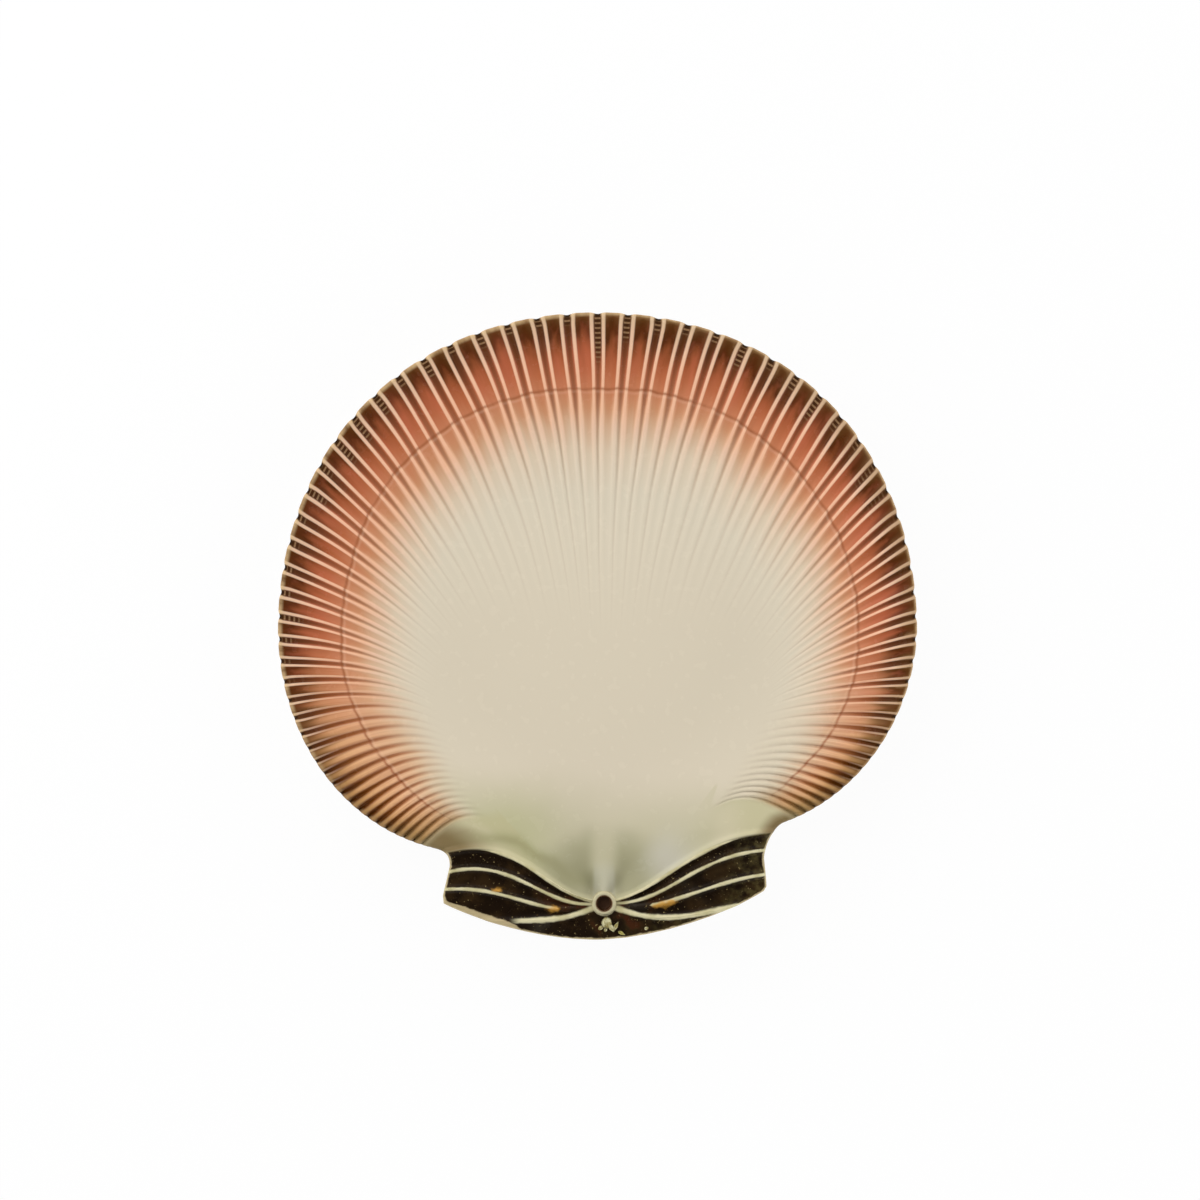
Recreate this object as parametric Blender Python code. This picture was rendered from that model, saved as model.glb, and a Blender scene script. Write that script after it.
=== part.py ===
"""A scallop-shell plate: one piece of glazed ceramic, about 22 cm wide.

The plate is seen from above with its hinge towards -Y. Its top is a fan of ribs that leave the
hinge ring, run through the smooth well and bend out to the rim. Two unequal ears with four
ridges each stand beside the ring. Underneath it is plain and stands on a round foot.

The solid is lofted: every rib line is a curve from the ring to the rim, each row joins the
points of all lines into one closed section, and the sections are extruded one into the next,
down the inside of the shell, over its edge and along the underside to the foot.
"""
import math
from bisect import bisect_right

import bmesh
import bpy

MM = 0.001
DEG = math.pi / 180

# Fan, measured from its centre; left is -X
FAN_RADIUS = 109.9 * MM          # at the top of the rim
SIDE_SWELL = 1.1 * MM            # by which the rim stands further out at the sides
SHOULDER = 2.0 * MM              # swell of the rim half-way down each side
CHEEK = {-1: 47.7 * MM, 1: 58.4 * MM}   # draw-in that the rim would reach at the very bottom
CHEEK_POWER = {-1: 2.0, 1: 1.7}         # how late the draw-in comes
RIM_SCALLOP = 0.55 * MM          # notch in the rim's outline at each narrow channel

# Ribs, numbered from 0 at the top; a whole number is the middle of a narrow channel
RIBS = {-1: 38, 1: 34}
PITCH_TOP = 5.6 * DEG            # angle from channel to channel at the top of the rim
PITCH_FLANK = 1.75 * DEG         # the same beside the ears
PITCH_TURN = 19.8                # rib where the pitch is half-way between the two
PITCH_BLEND = 4.6                # ribs over which it changes
CREST = 0.2                      # crest of a ridge beside its channel, share of the pitch
CHANNEL_DEPTH = 0.9 * MM         # narrow channel below the crests
FLUTE_DEPTH = 0.75 * MM          # wide flute below the crests
FLANK_RIB = 0.35 * MM            # flank ribs: middle of the broad rib above its sides
FLANK_FROM = 16                  # rib where the two-ridged pattern starts to change
FLANK_FULL = 24                  # rib from which it is broad ribs with narrow grooves

# Course of the rib lines, by the angle of their outer end from the top of the fan, in degrees
LINE_AT = (0, 25, 50, 75, 90, 105, 120, 133, 143)
LINE_START = (0, 14, 28, 40, 49, 58, 63, 65, 66)          # direction at the ring, from +Y
LINE_END = {                                              # direction at the rim, from +Y
    -1: (0, 25, 40, 65, 83, 101, 116, 128, 132),
    1: (0, 23, 39, 60, 80, 96, 111, 123, 128),
}
LINE_INNER = (.29, .31, .31, .32, .34, .36, .39, .43, .46)   # inner handle, share of the chord
LINE_OUTER = (.47, .47, .50, .55, .57, .59, .59, .53, .46)   # outer handle, share of the chord

# Growth line: a fine groove across the ribs, as a depth in from the rim
GROWTH_AT = (0, 90, 120, 143)
GROWTH_IN = (26 * MM, 23 * MM, 15.5 * MM, 11 * MM)
GROWTH_WIDTH = 1.0 * MM
GROWTH_DEPTH = 0.35 * MM

# Where the ribs have sunk into the smooth well, as a depth in from the rim
FADE_AT = (0, 30, 60, 90, 120, 143)
FADE_IN = (126 * MM, 112 * MM, 84 * MM, 58 * MM, 38 * MM, 26 * MM)

# Ears. The outline runs from the fan through the neck and the corner to the tail
NECK = {-1: (-51.5 * MM, -82.8 * MM), 1: (58.0 * MM, -80.0 * MM)}
CORNER = {-1: (-54.4 * MM, -95.4 * MM), 1: (59.0 * MM, -90.6 * MM)}
TAIL = (-0.4 * MM, -108.3 * MM)
NECK_HANDLE = 4.0 * MM           # how softly the rim turns into the neck
CORNER_CUT = 3.2 * MM            # length taken off each side of a corner by its rounding
BOTTOM_SLOPE = {-1: 24 * DEG, 1: 31 * DEG}   # fall of the lower edge at the corner
BOTTOM_HANDLE = 17 * MM
EAR_RIDGE = 1.5 * MM             # height of an ear's ridges above the bands between them
# Ridges of an ear: where each meets the outline, as a length from the fan's end, then its
# direction at the ring and at the outline (degrees from +Y) and its inner and outer handles
EAR_LINES = {
    -1: ((4.0 * MM, 79, 104, .34, .49), (10.8 * MM, 93, 103, .34, .46),
         (17.0 * MM, 104, 95, .35, .42), (39.0 * MM, 112, 92, .34, .60)),
    1: ((5.4 * MM, 75, 87, .30, .43), (11.8 * MM, 89, 85, .33, .45),
        (20.2 * MM, 99, 82, .32, .41), (36.5 * MM, 110, 76, .34, .50)),
}

# Hinge ring, umbo and the blind hole in the ring
HINGE = (2.3 * MM, -95.7 * MM)
RING_RADIUS = 4.2 * MM           # outside of the bead
RING_HOLE = 2.5 * MM             # radius of the blind hole
RING_HEIGHT = 1.3 * MM
RING_HOLE_DEPTH = 2.2 * MM       # below the surface round the ring
UMBO_HEIGHT = 1.1 * MM           # raised band above the ring, between two valleys
UMBO_LENGTH = 24 * MM

# Section through the plate
WALL = 4.4 * MM                  # thickness, measured upright
RIM_HEIGHT = 22 * MM             # top of the rim above the table
FLAT_SHARE = 0.42                # share of the radius over which the well is flat
BOWL_POWER = 1.9                 # how the side of the well steepens
NECK_DIP = 9 * MM                # draw-in of the bowl beside the necks
NECK_DIP_AT = 143 * DEG
NECK_DIP_HALF = 48 * DEG
EAR_FROM = 132 * DEG             # direction where the steep side gives way to the flatter ears
EAR_FULL = 152 * DEG
EAR_LEVEL = 0.80                 # climb at which the ears level out
EAR_SOFTNESS = 0.05              # climb over which they do
EAR_TILT = 0.30                  # slope that is left beyond it, share of the bowl's own
EDGE_ROUND = 1.7 * MM            # how far in the rounding of the edge reaches
FOOT_RADIUS = 60 * MM
FOOT_WIDTH = 4.5 * MM
FOOT_HEIGHT = 3.0 * MM
FOOT_CENTRE = (0.0, -3.0 * MM)
FOOT_EASE = 0.5 * MM             # bevel on the foot's lower edges
FOOT_FILLET = 1.2 * MM           # slope between the foot and the underside

# Ear detail, as shares of the space from one ridge to the next
RIDGE_SHARE = 0.2                # half-width of a ridge's foot
FOLD_SHARES = (0.0, 0.3, 0.6, 0.82)
BAND_MIDDLE = 0.5
BAND_SHARES = (0.0, 0.17, BAND_MIDDLE, 0.83)
RIDGE_RISE = 11 * MM             # length from the ring over which a ridge gains its height
TAIL_HANDLE = .33
UMBO_TURN = 78 * DEG             # direction of the ears' first ridges at the ring

# The loft's columns, by how far in from the edge they run
RANK_FINE, RANK_FLUTE, RANK_CHANNEL, RANK_WELL, RANK_RING = range(5)
CHANNEL_STEP = 4                 # every so many channels runs on to the ring
FINE_RIBS = 18                   # ribs up to this number have a rounded flute
FLUTE_SIDE = 0.35                # extra column of a rounded flute, share of the pitch
LINE_SAMPLES = 48

# The loft's rows, each a share of the way between two lines, with the columns that they keep
GROWTH_MOST = 0.24               # limits of the growth line and of the fade, share of a column
FADE_MOST = 0.62
FADE_POWER = 1.5                 # how early the ribs lose their height towards the well
EDGE_MOST = 0.15                 # limit of the edge's rounding, share of the way to the growth line
RIM_ROWS = (0.22, 0.55)          # from the outline to the growth line
FADE_ROWS = ((RANK_FINE, 0.2), (RANK_FLUTE, 0.5), (RANK_CHANNEL, 1.0))   # on to the fade
WELL_ROWS = ((RANK_WELL, 0.3), (RANK_RING, 0.6), (RANK_RING, 0.85), (RANK_RING, 1.0))
EDGE_MIDDLE = 0.32               # height of the outline below the inside, share of the wall
EDGE_BELOW = ((0.3 * MM, 0.7), (2.0 * MM, 1.0))   # insets and drops of the edge underneath
UNDER_ROWS = (0.15, 0.42, 0.7, 1.0)      # from the outline to the foot
FLOOR_ROWS = (0.55, 0.15)        # inside the foot, share of its inner radius
BEAD_ROWS = ((0.8, 0.7), (0.2, 1.0), (-0.5, 0.9), (-1.0, 0.3))   # across and up the ring's bead
HOLE_ROWS = ((0.9, 0.7), (0.5, 1.0))     # radius and depth in the blind hole
SMOOTH_UP_TO = 50 * DEG

GLAZE = (0.62, 0.50, 0.37)
GLAZE_ROUGHNESS = 0.18


# Small helpers
def smooth_step(x):
    """Rises smoothly from 0 at x = 0 to 1 at x = 1."""
    x = min(max(x, 0.0), 1.0)
    return x * x * (3 - 2 * x)


def smooth_curve(knots, values, x):
    """Value at x of a smooth curve through the given knots."""
    x = min(max(x, knots[0]), knots[-1])
    i = min(bisect_right(knots, x) - 1, len(knots) - 2)

    def slope(k):
        low, high = max(k - 1, 0), min(k + 1, len(knots) - 1)
        return (values[high] - values[low]) / (knots[high] - knots[low])

    span = knots[i + 1] - knots[i]
    t = (x - knots[i]) / span
    share = smooth_step(t)
    lean = t * (1 - t) * span * ((1 - t) * slope(i) - t * slope(i + 1))
    return values[i] * (1 - share) + values[i + 1] * share + lean


def bezier(p0, p1, p2, p3, t):
    """Point at t on a cubic curve in the plane."""
    weights = (1 - t) ** 3, 3 * t * (1 - t) ** 2, 3 * t * t * (1 - t), t ** 3
    return tuple(sum(w * p[axis] for w, p in zip(weights, (p0, p1, p2, p3))) for axis in (0, 1))


def along(path, length):
    """Point at a length from the start of a polyline, or its last point."""
    for a, b in zip(path, path[1:]):
        step = math.dist(a, b)
        if length <= step:
            share = length / step if step else 0.0
            return a[0] + (b[0] - a[0]) * share, a[1] + (b[1] - a[1]) * share
        length -= step
    return path[-1]


def path_length(path):
    return sum(math.dist(a, b) for a, b in zip(path, path[1:]))


# Outline
def full_radius(phi):
    """Radius of the round fan before it draws in towards the ears."""
    return FAN_RADIUS + SIDE_SWELL * math.sin(phi) ** 2 + SHOULDER * math.sin(2 * phi) ** 2


def rim_point(phi):
    """Point of the fan's rim at an angle from its top, positive to the right."""
    side = 1 if phi > 0 else -1
    radius = full_radius(phi)
    past = abs(phi) / (math.pi / 2) - 1
    if past > 0:
        radius -= CHEEK[side] * past ** CHEEK_POWER[side]
    return radius * math.sin(phi), radius * math.cos(phi)


def rib_angle(n):
    """Angle at the rim of rib n: the pitch falls from its top value to its flank value."""
    count = abs(n)
    late = math.log1p(math.exp((count - PITCH_TURN) / PITCH_BLEND))
    early = math.log1p(math.exp(-PITCH_TURN / PITCH_BLEND))
    turned = PITCH_BLEND * (late - early)
    return math.copysign(PITCH_TOP * count - (PITCH_TOP - PITCH_FLANK) * turned, n)


def ear_outline(side):
    """Polyline from the fan's end round one ear to the tail."""
    end = rib_angle(side * (RIBS[side] + 0.5))
    start, before = rim_point(end), rim_point(end - side * 2 * DEG)
    run = math.dist(start, before)
    lead = tuple(s + (s - b) / run * NECK_HANDLE for s, b in zip(start, before))
    neck, corner = NECK[side], CORNER[side]
    flank = math.dist(neck, corner)
    stop = tuple(c + (n - c) / flank * CORNER_CUT for c, n in zip(corner, neck))
    inward = (-side * math.cos(BOTTOM_SLOPE[side]), -math.sin(BOTTOM_SLOPE[side]))
    go = tuple(c + d * CORNER_CUT for c, d in zip(corner, inward))
    parts = (
        (start, lead, (neck[0], neck[1] + NECK_HANDLE), neck),
        (neck, neck, stop, stop),
        (stop, corner, corner, go),
        (go, tuple(g + d * BOTTOM_HANDLE for g, d in zip(go, inward)),
         (TAIL[0] + side * BOTTOM_HANDLE, TAIL[1]), TAIL),
    )
    path = [start]
    for points in parts:
        path += [bezier(*points, t / 16) for t in range(1, 17)]
    return path


# Lines from the ring to the outline
def make_line(end, start_turn, end_turn, inner, outer):
    """Polyline from the outline in to the ring; turns are signed angles from +Y, in degrees."""
    a, b = start_turn * DEG, end_turn * DEG
    leave = (math.sin(a), math.cos(a))
    arrive = (math.sin(b), math.cos(b))
    start = tuple(h + RING_RADIUS * d for h, d in zip(HINGE, leave))
    chord = math.dist(start, end)
    p1 = tuple(s + inner * chord * d for s, d in zip(start, leave))
    p2 = tuple(e - outer * chord * d for e, d in zip(end, arrive))
    return [bezier(end, p2, p1, start, t / LINE_SAMPLES) for t in range(LINE_SAMPLES + 1)]


def rib_course(n):
    """End point and course of the rib line n."""
    phi = rib_angle(n)
    turn, side = abs(phi) / DEG, -1 if n < 0 else 1
    return (rim_point(phi), side * smooth_curve(LINE_AT, LINE_START, turn),
            side * smooth_curve(LINE_AT, LINE_END[side], turn),
            smooth_curve(LINE_AT, LINE_INNER, turn), smooth_curve(LINE_AT, LINE_OUTER, turn))


class Column:
    """One line of the loft, with all that the height of the surface along it depends on."""

    def __init__(self, course, rank, rib=None, ridge=0.0):
        self.path = make_line(*course)
        self.length = path_length(self.path)
        self.turn = course[1] * DEG
        self.rank = rank
        self.rib = rib
        self.ridge = ridge
        x, y = self.path[0]
        angle = abs(math.atan2(x, y)) / DEG
        self.growth = min(smooth_curve(GROWTH_AT, GROWTH_IN, angle), GROWTH_MOST * self.length)
        self.fade = min(smooth_curve(FADE_AT, FADE_IN, angle), FADE_MOST * self.length)

    def at(self, depth):
        return along(self.path, depth)


def fan_columns():
    """Columns of the ribs, from left to right."""
    columns = []
    for n in range(-RIBS[-1], RIBS[1] + 1):
        if n % CHANNEL_STEP == 0:
            rank = RANK_RING
        elif n % 2 == 0:
            rank = RANK_WELL
        else:
            rank = RANK_CHANNEL
        sides = (CREST, FLUTE_SIDE) if abs(n) <= FINE_RIBS else (CREST,)
        for share in (*(-s for s in reversed(sides)), 0.0, *sides):
            own = RANK_FINE if share else rank
            columns.append(Column(rib_course(n + share), own, rib=n + share))
        if n < RIBS[1]:
            columns.append(Column(rib_course(n + 0.5), RANK_FLUTE, rib=n + 0.5))
    return columns


def ear_columns(side):
    """Columns of one ear, from the fan's end to just before the tail."""
    outline = ear_outline(side)
    _, start_turn, end_turn, inner, outer = rib_course(side * (RIBS[side] + 0.5))
    keys = [(0.0, abs(start_turn), abs(end_turn), inner, outer), *EAR_LINES[side],
            (path_length(outline), 180, 180, TAIL_HANDLE, TAIL_HANDLE)]
    columns = []
    for k, (near, far) in enumerate(zip(keys, keys[1:])):
        for share in FOLD_SHARES if k == 0 else BAND_SHARES:
            arc, leave, arrive, inner, outer = (a + (b - a) * share for a, b in zip(near, far))
            course = (along(outline, arc), side * leave, side * arrive, inner, outer)
            from_ridge = share if k else 1.0
            if k < len(keys) - 2:
                from_ridge = min(from_ridge, 1 - share)
            ridge = max(0.0, 1 - from_ridge / RIDGE_SHARE)
            rank = RANK_RING if share in (0.0, BAND_MIDDLE) else RANK_FLUTE
            columns.append(Column(course, rank, ridge=ridge))
    return columns


def all_columns():
    """All columns in order round the plate, clockwise from the tail."""
    tail = Column((TAIL, 180, 180, TAIL_HANDLE, TAIL_HANDLE), RANK_RING)
    return [tail, *reversed(ear_columns(-1)), *fan_columns(), *ear_columns(1)]


# Heights
def bowl_radius(phi):
    """Radius at which the bowl of the plate would reach the rim's height."""
    dip = max(0.0, 1 - abs(abs(phi) - NECK_DIP_AT) / NECK_DIP_HALF)
    return full_radius(phi) - NECK_DIP * smooth_step(dip)


def dish(x, y):
    """Height of the inside without its ribs."""
    phi = math.atan2(x, y)
    share = math.hypot(x, y) / bowl_radius(phi)
    climb = max(0.0, (share - FLAT_SHARE) / (1 - FLAT_SHARE))
    past_level = EAR_SOFTNESS * math.log1p(math.exp((climb - EAR_LEVEL) / EAR_SOFTNESS))
    ear = smooth_step((abs(phi) - EAR_FROM) / (EAR_FULL - EAR_FROM))
    climb = max(0.0, climb - ear * (1 - EAR_TILT) * past_level)
    floor = FOOT_HEIGHT + WALL
    return floor + (RIM_HEIGHT - floor) * climb ** BOWL_POWER


def rib_relief(n):
    """Height at rib coordinate n, measured from the crests of the ridges."""
    off = abs(n - round(n))
    if off < CREST:
        fluted = -CHANNEL_DEPTH * math.cos(math.pi / 2 * off / CREST) ** 2
    else:
        fluted = -FLUTE_DEPTH * math.sin(math.pi / 2 * (off - CREST) / (0.5 - CREST)) ** 2
    groove = -CHANNEL_DEPTH * math.cos(math.pi * off) ** 6
    broad = groove + FLANK_RIB * math.sin(math.pi * off) ** 2
    blend = smooth_step((abs(n) - FLANK_FROM) / (FLANK_FULL - FLANK_FROM))
    return fluted + (broad - fluted) * blend


def relief(column, depth):
    """Height added to the dish along a column, at a depth in from the outline."""
    from_ring = column.length - depth
    height = EAR_RIDGE * column.ridge * smooth_step(from_ring / RIDGE_RISE)
    if abs(column.turn) < UMBO_TURN:
        swing = math.cos(2 * math.pi * column.turn / UMBO_TURN)
        height += UMBO_HEIGHT * swing * (1 - smooth_step(from_ring / UMBO_LENGTH))
    if column.rib is not None:
        height += rib_relief(column.rib) * (1 - smooth_step(depth / column.fade)) ** FADE_POWER
        off = abs(depth - column.growth) / (GROWTH_WIDTH / 2)
        height -= GROWTH_DEPTH * max(0.0, 1 - off)
    return height


# Sections, as one point for each column that the section keeps
def outline_section(columns):
    """The plate's outline, notched at the narrow channels."""
    section = {}
    for column, normal in zip(columns, inward_normals(columns)):
        section[column] = edge_point(column, normal, 0.0, EDGE_MIDDLE)
    return section


def inward_normals(columns):
    """Unit vectors square to the outline and into the plate, one for each column."""
    points = [c.at(0.0) for c in columns]
    normals = []
    for before, after in zip(points[-1:] + points[:-1], points[1:] + points[:1]):
        size = math.dist(before, after)
        normals.append(((after[1] - before[1]) / size, (before[0] - after[0]) / size))
    return normals


def edge_point(column, normal, inset, drop):
    """Point on the rounded edge: in from the outline, and down by a share of the wall."""
    x, y = column.at(0.0)
    shift = inset
    if column.rib is not None:
        shift += RIM_SCALLOP * math.cos(math.pi * column.rib) ** 8
    top = dish(x, y) + relief(column, 0.0) * (1 - drop)
    return x + normal[0] * shift, y + normal[1] * shift, top - drop * WALL


def inside_sections(columns):
    """Sections from the edge over the inside to the foot of the ring's bead."""
    half = GROWTH_WIDTH / 2
    rows = [(RANK_FINE, lambda c: min(EDGE_ROUND, EDGE_MOST * c.growth))]
    rows += [(RANK_FINE, lambda c, share=share: share * c.growth) for share in RIM_ROWS]
    rows += [(RANK_FINE, lambda c, off=off: c.growth + off) for off in (-half, 0.0, half)]
    rows += [(rank, lambda c, share=share: c.growth + share * (c.fade - c.growth))
             for rank, share in FADE_ROWS]
    rows += [(rank, lambda c, share=share: c.fade + share * (c.length - c.fade))
             for rank, share in WELL_ROWS]
    for rank, depth_of in rows:
        section = {}
        for column in columns:
            if column.rank >= rank:
                depth = depth_of(column)
                x, y = column.at(depth)
                section[column] = (x, y, dish(x, y) + relief(column, depth))
        yield section


def ring_sections(columns):
    """Sections over the ring's bead and down its blind hole."""
    base = dish(*HINGE)
    middle = (RING_RADIUS + RING_HOLE) / 2
    half = (RING_RADIUS - RING_HOLE) / 2
    profile = [(middle + across * half, up * RING_HEIGHT) for across, up in BEAD_ROWS]
    profile += [(radius * RING_HOLE, -depth * RING_HOLE_DEPTH) for radius, depth in HOLE_ROWS]
    for radius, height in profile:
        yield {c: (HINGE[0] + radius * math.sin(c.turn), HINGE[1] + radius * math.cos(c.turn),
                   base + height) for c in columns if c.rank >= RANK_RING}


def underside_sections(columns):
    """Sections from the edge along the underside and round the foot to the floor inside it."""
    normals = dict(zip(columns, inward_normals(columns)))
    for inset, drop in EDGE_BELOW:
        yield {c: edge_point(c, normals[c], inset, drop) for c in columns if c.rank >= RANK_FLUTE}
    cx, cy = FOOT_CENTRE
    spokes = {}
    for column in columns:
        if column.rank >= RANK_CHANNEL:
            x, y = column.at(0.0)
            reach = math.hypot(x - cx, y - cy)
            spokes[column] = ((x - cx) / reach, (y - cy) / reach, reach)
    outer = FOOT_RADIUS + FOOT_FILLET
    for share in UNDER_ROWS:
        section = {}
        for column, (ux, uy, reach) in spokes.items():
            radius = reach + (outer - reach) * share
            x, y = cx + ux * radius, cy + uy * radius
            section[column] = (x, y, dish(x, y) - WALL)
        yield section
    inner = FOOT_RADIUS - FOOT_WIDTH
    profile = (
        (FOOT_RADIUS, FOOT_EASE), (FOOT_RADIUS - FOOT_EASE, 0.0), (inner + FOOT_EASE, 0.0),
        (inner, FOOT_EASE), (inner - FOOT_FILLET, FOOT_HEIGHT),
    )
    for radius, height in profile:
        yield {c: (cx + ux * radius, cy + uy * radius, height)
               for c, (ux, uy, _) in spokes.items()}
    for share in FLOOR_ROWS:
        radius = inner * share
        yield {c: (cx + ux * radius, cy + uy * radius, FOOT_HEIGHT)
               for c, (ux, uy, _) in spokes.items() if c.rank >= RANK_WELL}


# Loft
def extrude_loop(bm, loop, points):
    """Extrudes a closed loop of vertices to as many new points, and returns the new loop."""
    edges = [bm.edges.get(pair) for pair in zip(loop, loop[1:] + loop[:1])]
    grown = bmesh.ops.extrude_edge_only(bm, edges=edges)["geom"]
    fresh = {item for item in grown if isinstance(item, bmesh.types.BMVert)}
    new_loop = []
    for vert, point in zip(loop, points):
        new = next(e.other_vert(vert) for e in vert.link_edges if e.other_vert(vert) in fresh)
        new.co = point
        new_loop.append(new)
    return new_loop


def nearest_kept(kept, i):
    """The kept place nearest to place i round a closed loop."""
    count = len(kept)
    return next(j % count for step in range(count) for j in (i + step, i - step)
                if kept[j % count])


def loft(bm, loop, columns, sections):
    """Extrudes a loop through sections; a dropped column is welded to its nearest neighbour."""
    for section in sections:
        kept = [c in section for c in columns]
        partner = [nearest_kept(kept, i) for i in range(len(columns))]
        loop = extrude_loop(bm, loop, [section[columns[j]] for j in partner])
        weld = {loop[i]: loop[j] for i, j in enumerate(partner) if i != j}
        if weld:
            bmesh.ops.weld_verts(bm, targetmap=weld)
        loop = [loop[i] for i, keep in enumerate(kept) if keep]
        columns = [columns[i] for i, keep in enumerate(kept) if keep]
    bm.faces.new(loop)


def build_plate():
    """The whole plate as one closed mesh, stood on the table with its box centred on the origin."""
    columns = all_columns()
    bm = bmesh.new()
    outline = outline_section(columns)
    rim = [bm.verts.new(outline[c]) for c in columns]
    for pair in zip(rim, rim[1:] + rim[:1]):
        bm.edges.new(pair)
    loft(bm, rim, columns, [*inside_sections(columns), *ring_sections(columns)])
    loft(bm, rim, columns, underside_sections(columns))
    bmesh.ops.recalc_face_normals(bm, faces=bm.faces)
    spans = [(min(v.co[axis] for v in rim), max(v.co[axis] for v in rim)) for axis in (0, 1)]
    centre = [(low + high) / 2 for low, high in spans]
    bmesh.ops.translate(bm, verts=bm.verts, vec=(-centre[0], -centre[1], 0.0))
    mesh = bpy.data.meshes.new("plate")
    bm.to_mesh(mesh)
    bm.free()
    return mesh


# Material
def glaze_material():
    """Glossy ceramic glaze in the plate's mean colour."""
    material = bpy.data.materials.new("glazed_ceramic")
    material.use_nodes = True
    shader = material.node_tree.nodes["Principled BSDF"]
    shader.inputs["Base Color"].default_value = (*GLAZE, 1.0)
    shader.inputs["Roughness"].default_value = GLAZE_ROUGHNESS
    shader.inputs["Metallic"].default_value = 0.0
    return material


def main():
    for old in list(bpy.data.objects):
        bpy.data.objects.remove(old, do_unlink=True)
    mesh = build_plate()
    mesh.materials.append(glaze_material())
    mesh.shade_smooth()
    mesh.set_sharp_from_angle(angle=SMOOTH_UP_TO)
    plate = bpy.data.objects.new("plate", mesh)
    bpy.context.collection.objects.link(plate)


main()
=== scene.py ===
"""Looks of the scallop-shell plate: its ribbed body, the moulded leaves, the glaze and the studio.

Every size is in metres. The body is drawn about the middle of its fan and then centred on the
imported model, with the hinge towards -Y and the foot on z = 0. Colours are eight-bit display values.
"""

import logging
import math
from dataclasses import dataclass, fields
from enum import Enum
from typing import Any, Mapping, Sequence, Union

import bpy
import numpy as np
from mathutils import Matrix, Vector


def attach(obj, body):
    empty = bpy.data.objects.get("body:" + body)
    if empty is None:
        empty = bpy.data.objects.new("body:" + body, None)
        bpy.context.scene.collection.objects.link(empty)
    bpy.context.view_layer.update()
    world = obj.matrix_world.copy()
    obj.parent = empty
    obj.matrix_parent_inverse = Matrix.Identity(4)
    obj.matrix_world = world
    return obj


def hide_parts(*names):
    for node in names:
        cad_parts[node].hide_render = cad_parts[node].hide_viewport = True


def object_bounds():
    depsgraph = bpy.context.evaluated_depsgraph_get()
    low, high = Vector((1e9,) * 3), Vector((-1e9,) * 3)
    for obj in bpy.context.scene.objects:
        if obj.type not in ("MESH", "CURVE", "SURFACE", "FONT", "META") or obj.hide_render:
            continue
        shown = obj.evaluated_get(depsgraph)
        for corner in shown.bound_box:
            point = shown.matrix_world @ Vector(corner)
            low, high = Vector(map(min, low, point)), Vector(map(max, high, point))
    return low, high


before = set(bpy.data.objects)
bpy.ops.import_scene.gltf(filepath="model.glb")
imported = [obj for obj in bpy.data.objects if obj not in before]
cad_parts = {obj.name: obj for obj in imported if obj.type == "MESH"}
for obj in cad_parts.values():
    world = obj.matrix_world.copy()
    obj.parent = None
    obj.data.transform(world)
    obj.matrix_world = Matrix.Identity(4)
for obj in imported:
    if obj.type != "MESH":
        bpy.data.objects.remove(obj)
CAD_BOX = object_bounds()

LOG = logging.getLogger("shell_plate")
MM = 0.001
DEG = math.pi / 180
WHITE = (255, 255, 255)
GLAZE_LEVEL = 0.2                # specular level of the glazes

Array = np.ndarray
Colour = tuple[float, float, float]
Knots = tuple[float, ...]
Point2 = tuple[float, float]
Stops = tuple[tuple[float, Colour], ...]


class Side(Enum):
    """Side of the plate, as the sign of its X."""

    LEFT = -1
    RIGHT = 1


class Layer(Enum):
    """Numbers stored at the vertices, most of which the glazes read."""

    RIB = "rib"          # rib coordinate: a whole number is the middle of a narrow channel
    DEPTH = "depth"      # way in from the outline, mm
    REACH = "reach"      # the same as a share of the way to the growth line
    PAST = "past"        # way inside the growth line, mm
    LEFT = "left"        # ribs that are left before the fan ends, negative beyond it
    FADED = "faded"      # share of the way to where the ribs have faded
    DARK = "dark"        # 1 on the dark bands of the ears
    RIDGE = "ridge"      # way off the nearest painted ridge, in half widths of it
    RING = "ring"        # way off the middle of the hinge ring, mm
    AMBER = "amber"      # 1 in the middle of an amber run of glaze
    EDGE = "edge"        # way in from the outline of an ear, mm
    BELOW = "below"      # way in from the outline on the underside, mm
    SEAM = "seam"        # number of the border that a vertex lies on, 0 for none
    CREST = "crest"      # height on a leaf, from -1 at its foot to 1 on its top


BODY_LAYERS = tuple(layer for layer in Layer if layer is not Layer.CREST)


class Border(Enum):
    """Closed borders at which the parts of the body meet or are capped."""

    EDGE = 1
    WELL = 2
    HOLE = 3
    FLOOR = 4


# Small helpers
def smooth_step(x: Array) -> Array:
    """Rises smoothly from 0 at x = 0 to 1 at x = 1.

    Args:
        x: Any numbers.

    Returns:
        The risen values.
    """
    x = np.clip(x, 0.0, 1.0)
    return x * x * (3 - 2 * x)


def smooth_curve(knots: Knots, values: Knots, x: Array) -> Array:
    """Value at x of a smooth curve through the given knots.

    Args:
        knots: Places of the knots, rising.
        values: Value at each knot.
        x: Places to read.

    Returns:
        The curve's values at x.
    """
    places, heights = np.asarray(knots, float), np.asarray(values, float)
    last = len(places) - 1
    x = np.clip(x, places[0], places[-1])
    i = np.clip(np.searchsorted(places, x, side="right") - 1, 0, last - 1)
    order = np.arange(last + 1)
    low, high = np.maximum(order - 1, 0), np.minimum(order + 1, last)
    slopes = (heights[high] - heights[low]) / (places[high] - places[low])
    span = places[i + 1] - places[i]
    t = (x - places[i]) / span
    share = smooth_step(t)
    lean = t * (1 - t) * span * ((1 - t) * slopes[i] - t * slopes[i + 1])
    return heights[i] * (1 - share) + heights[i + 1] * share + lean


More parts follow.
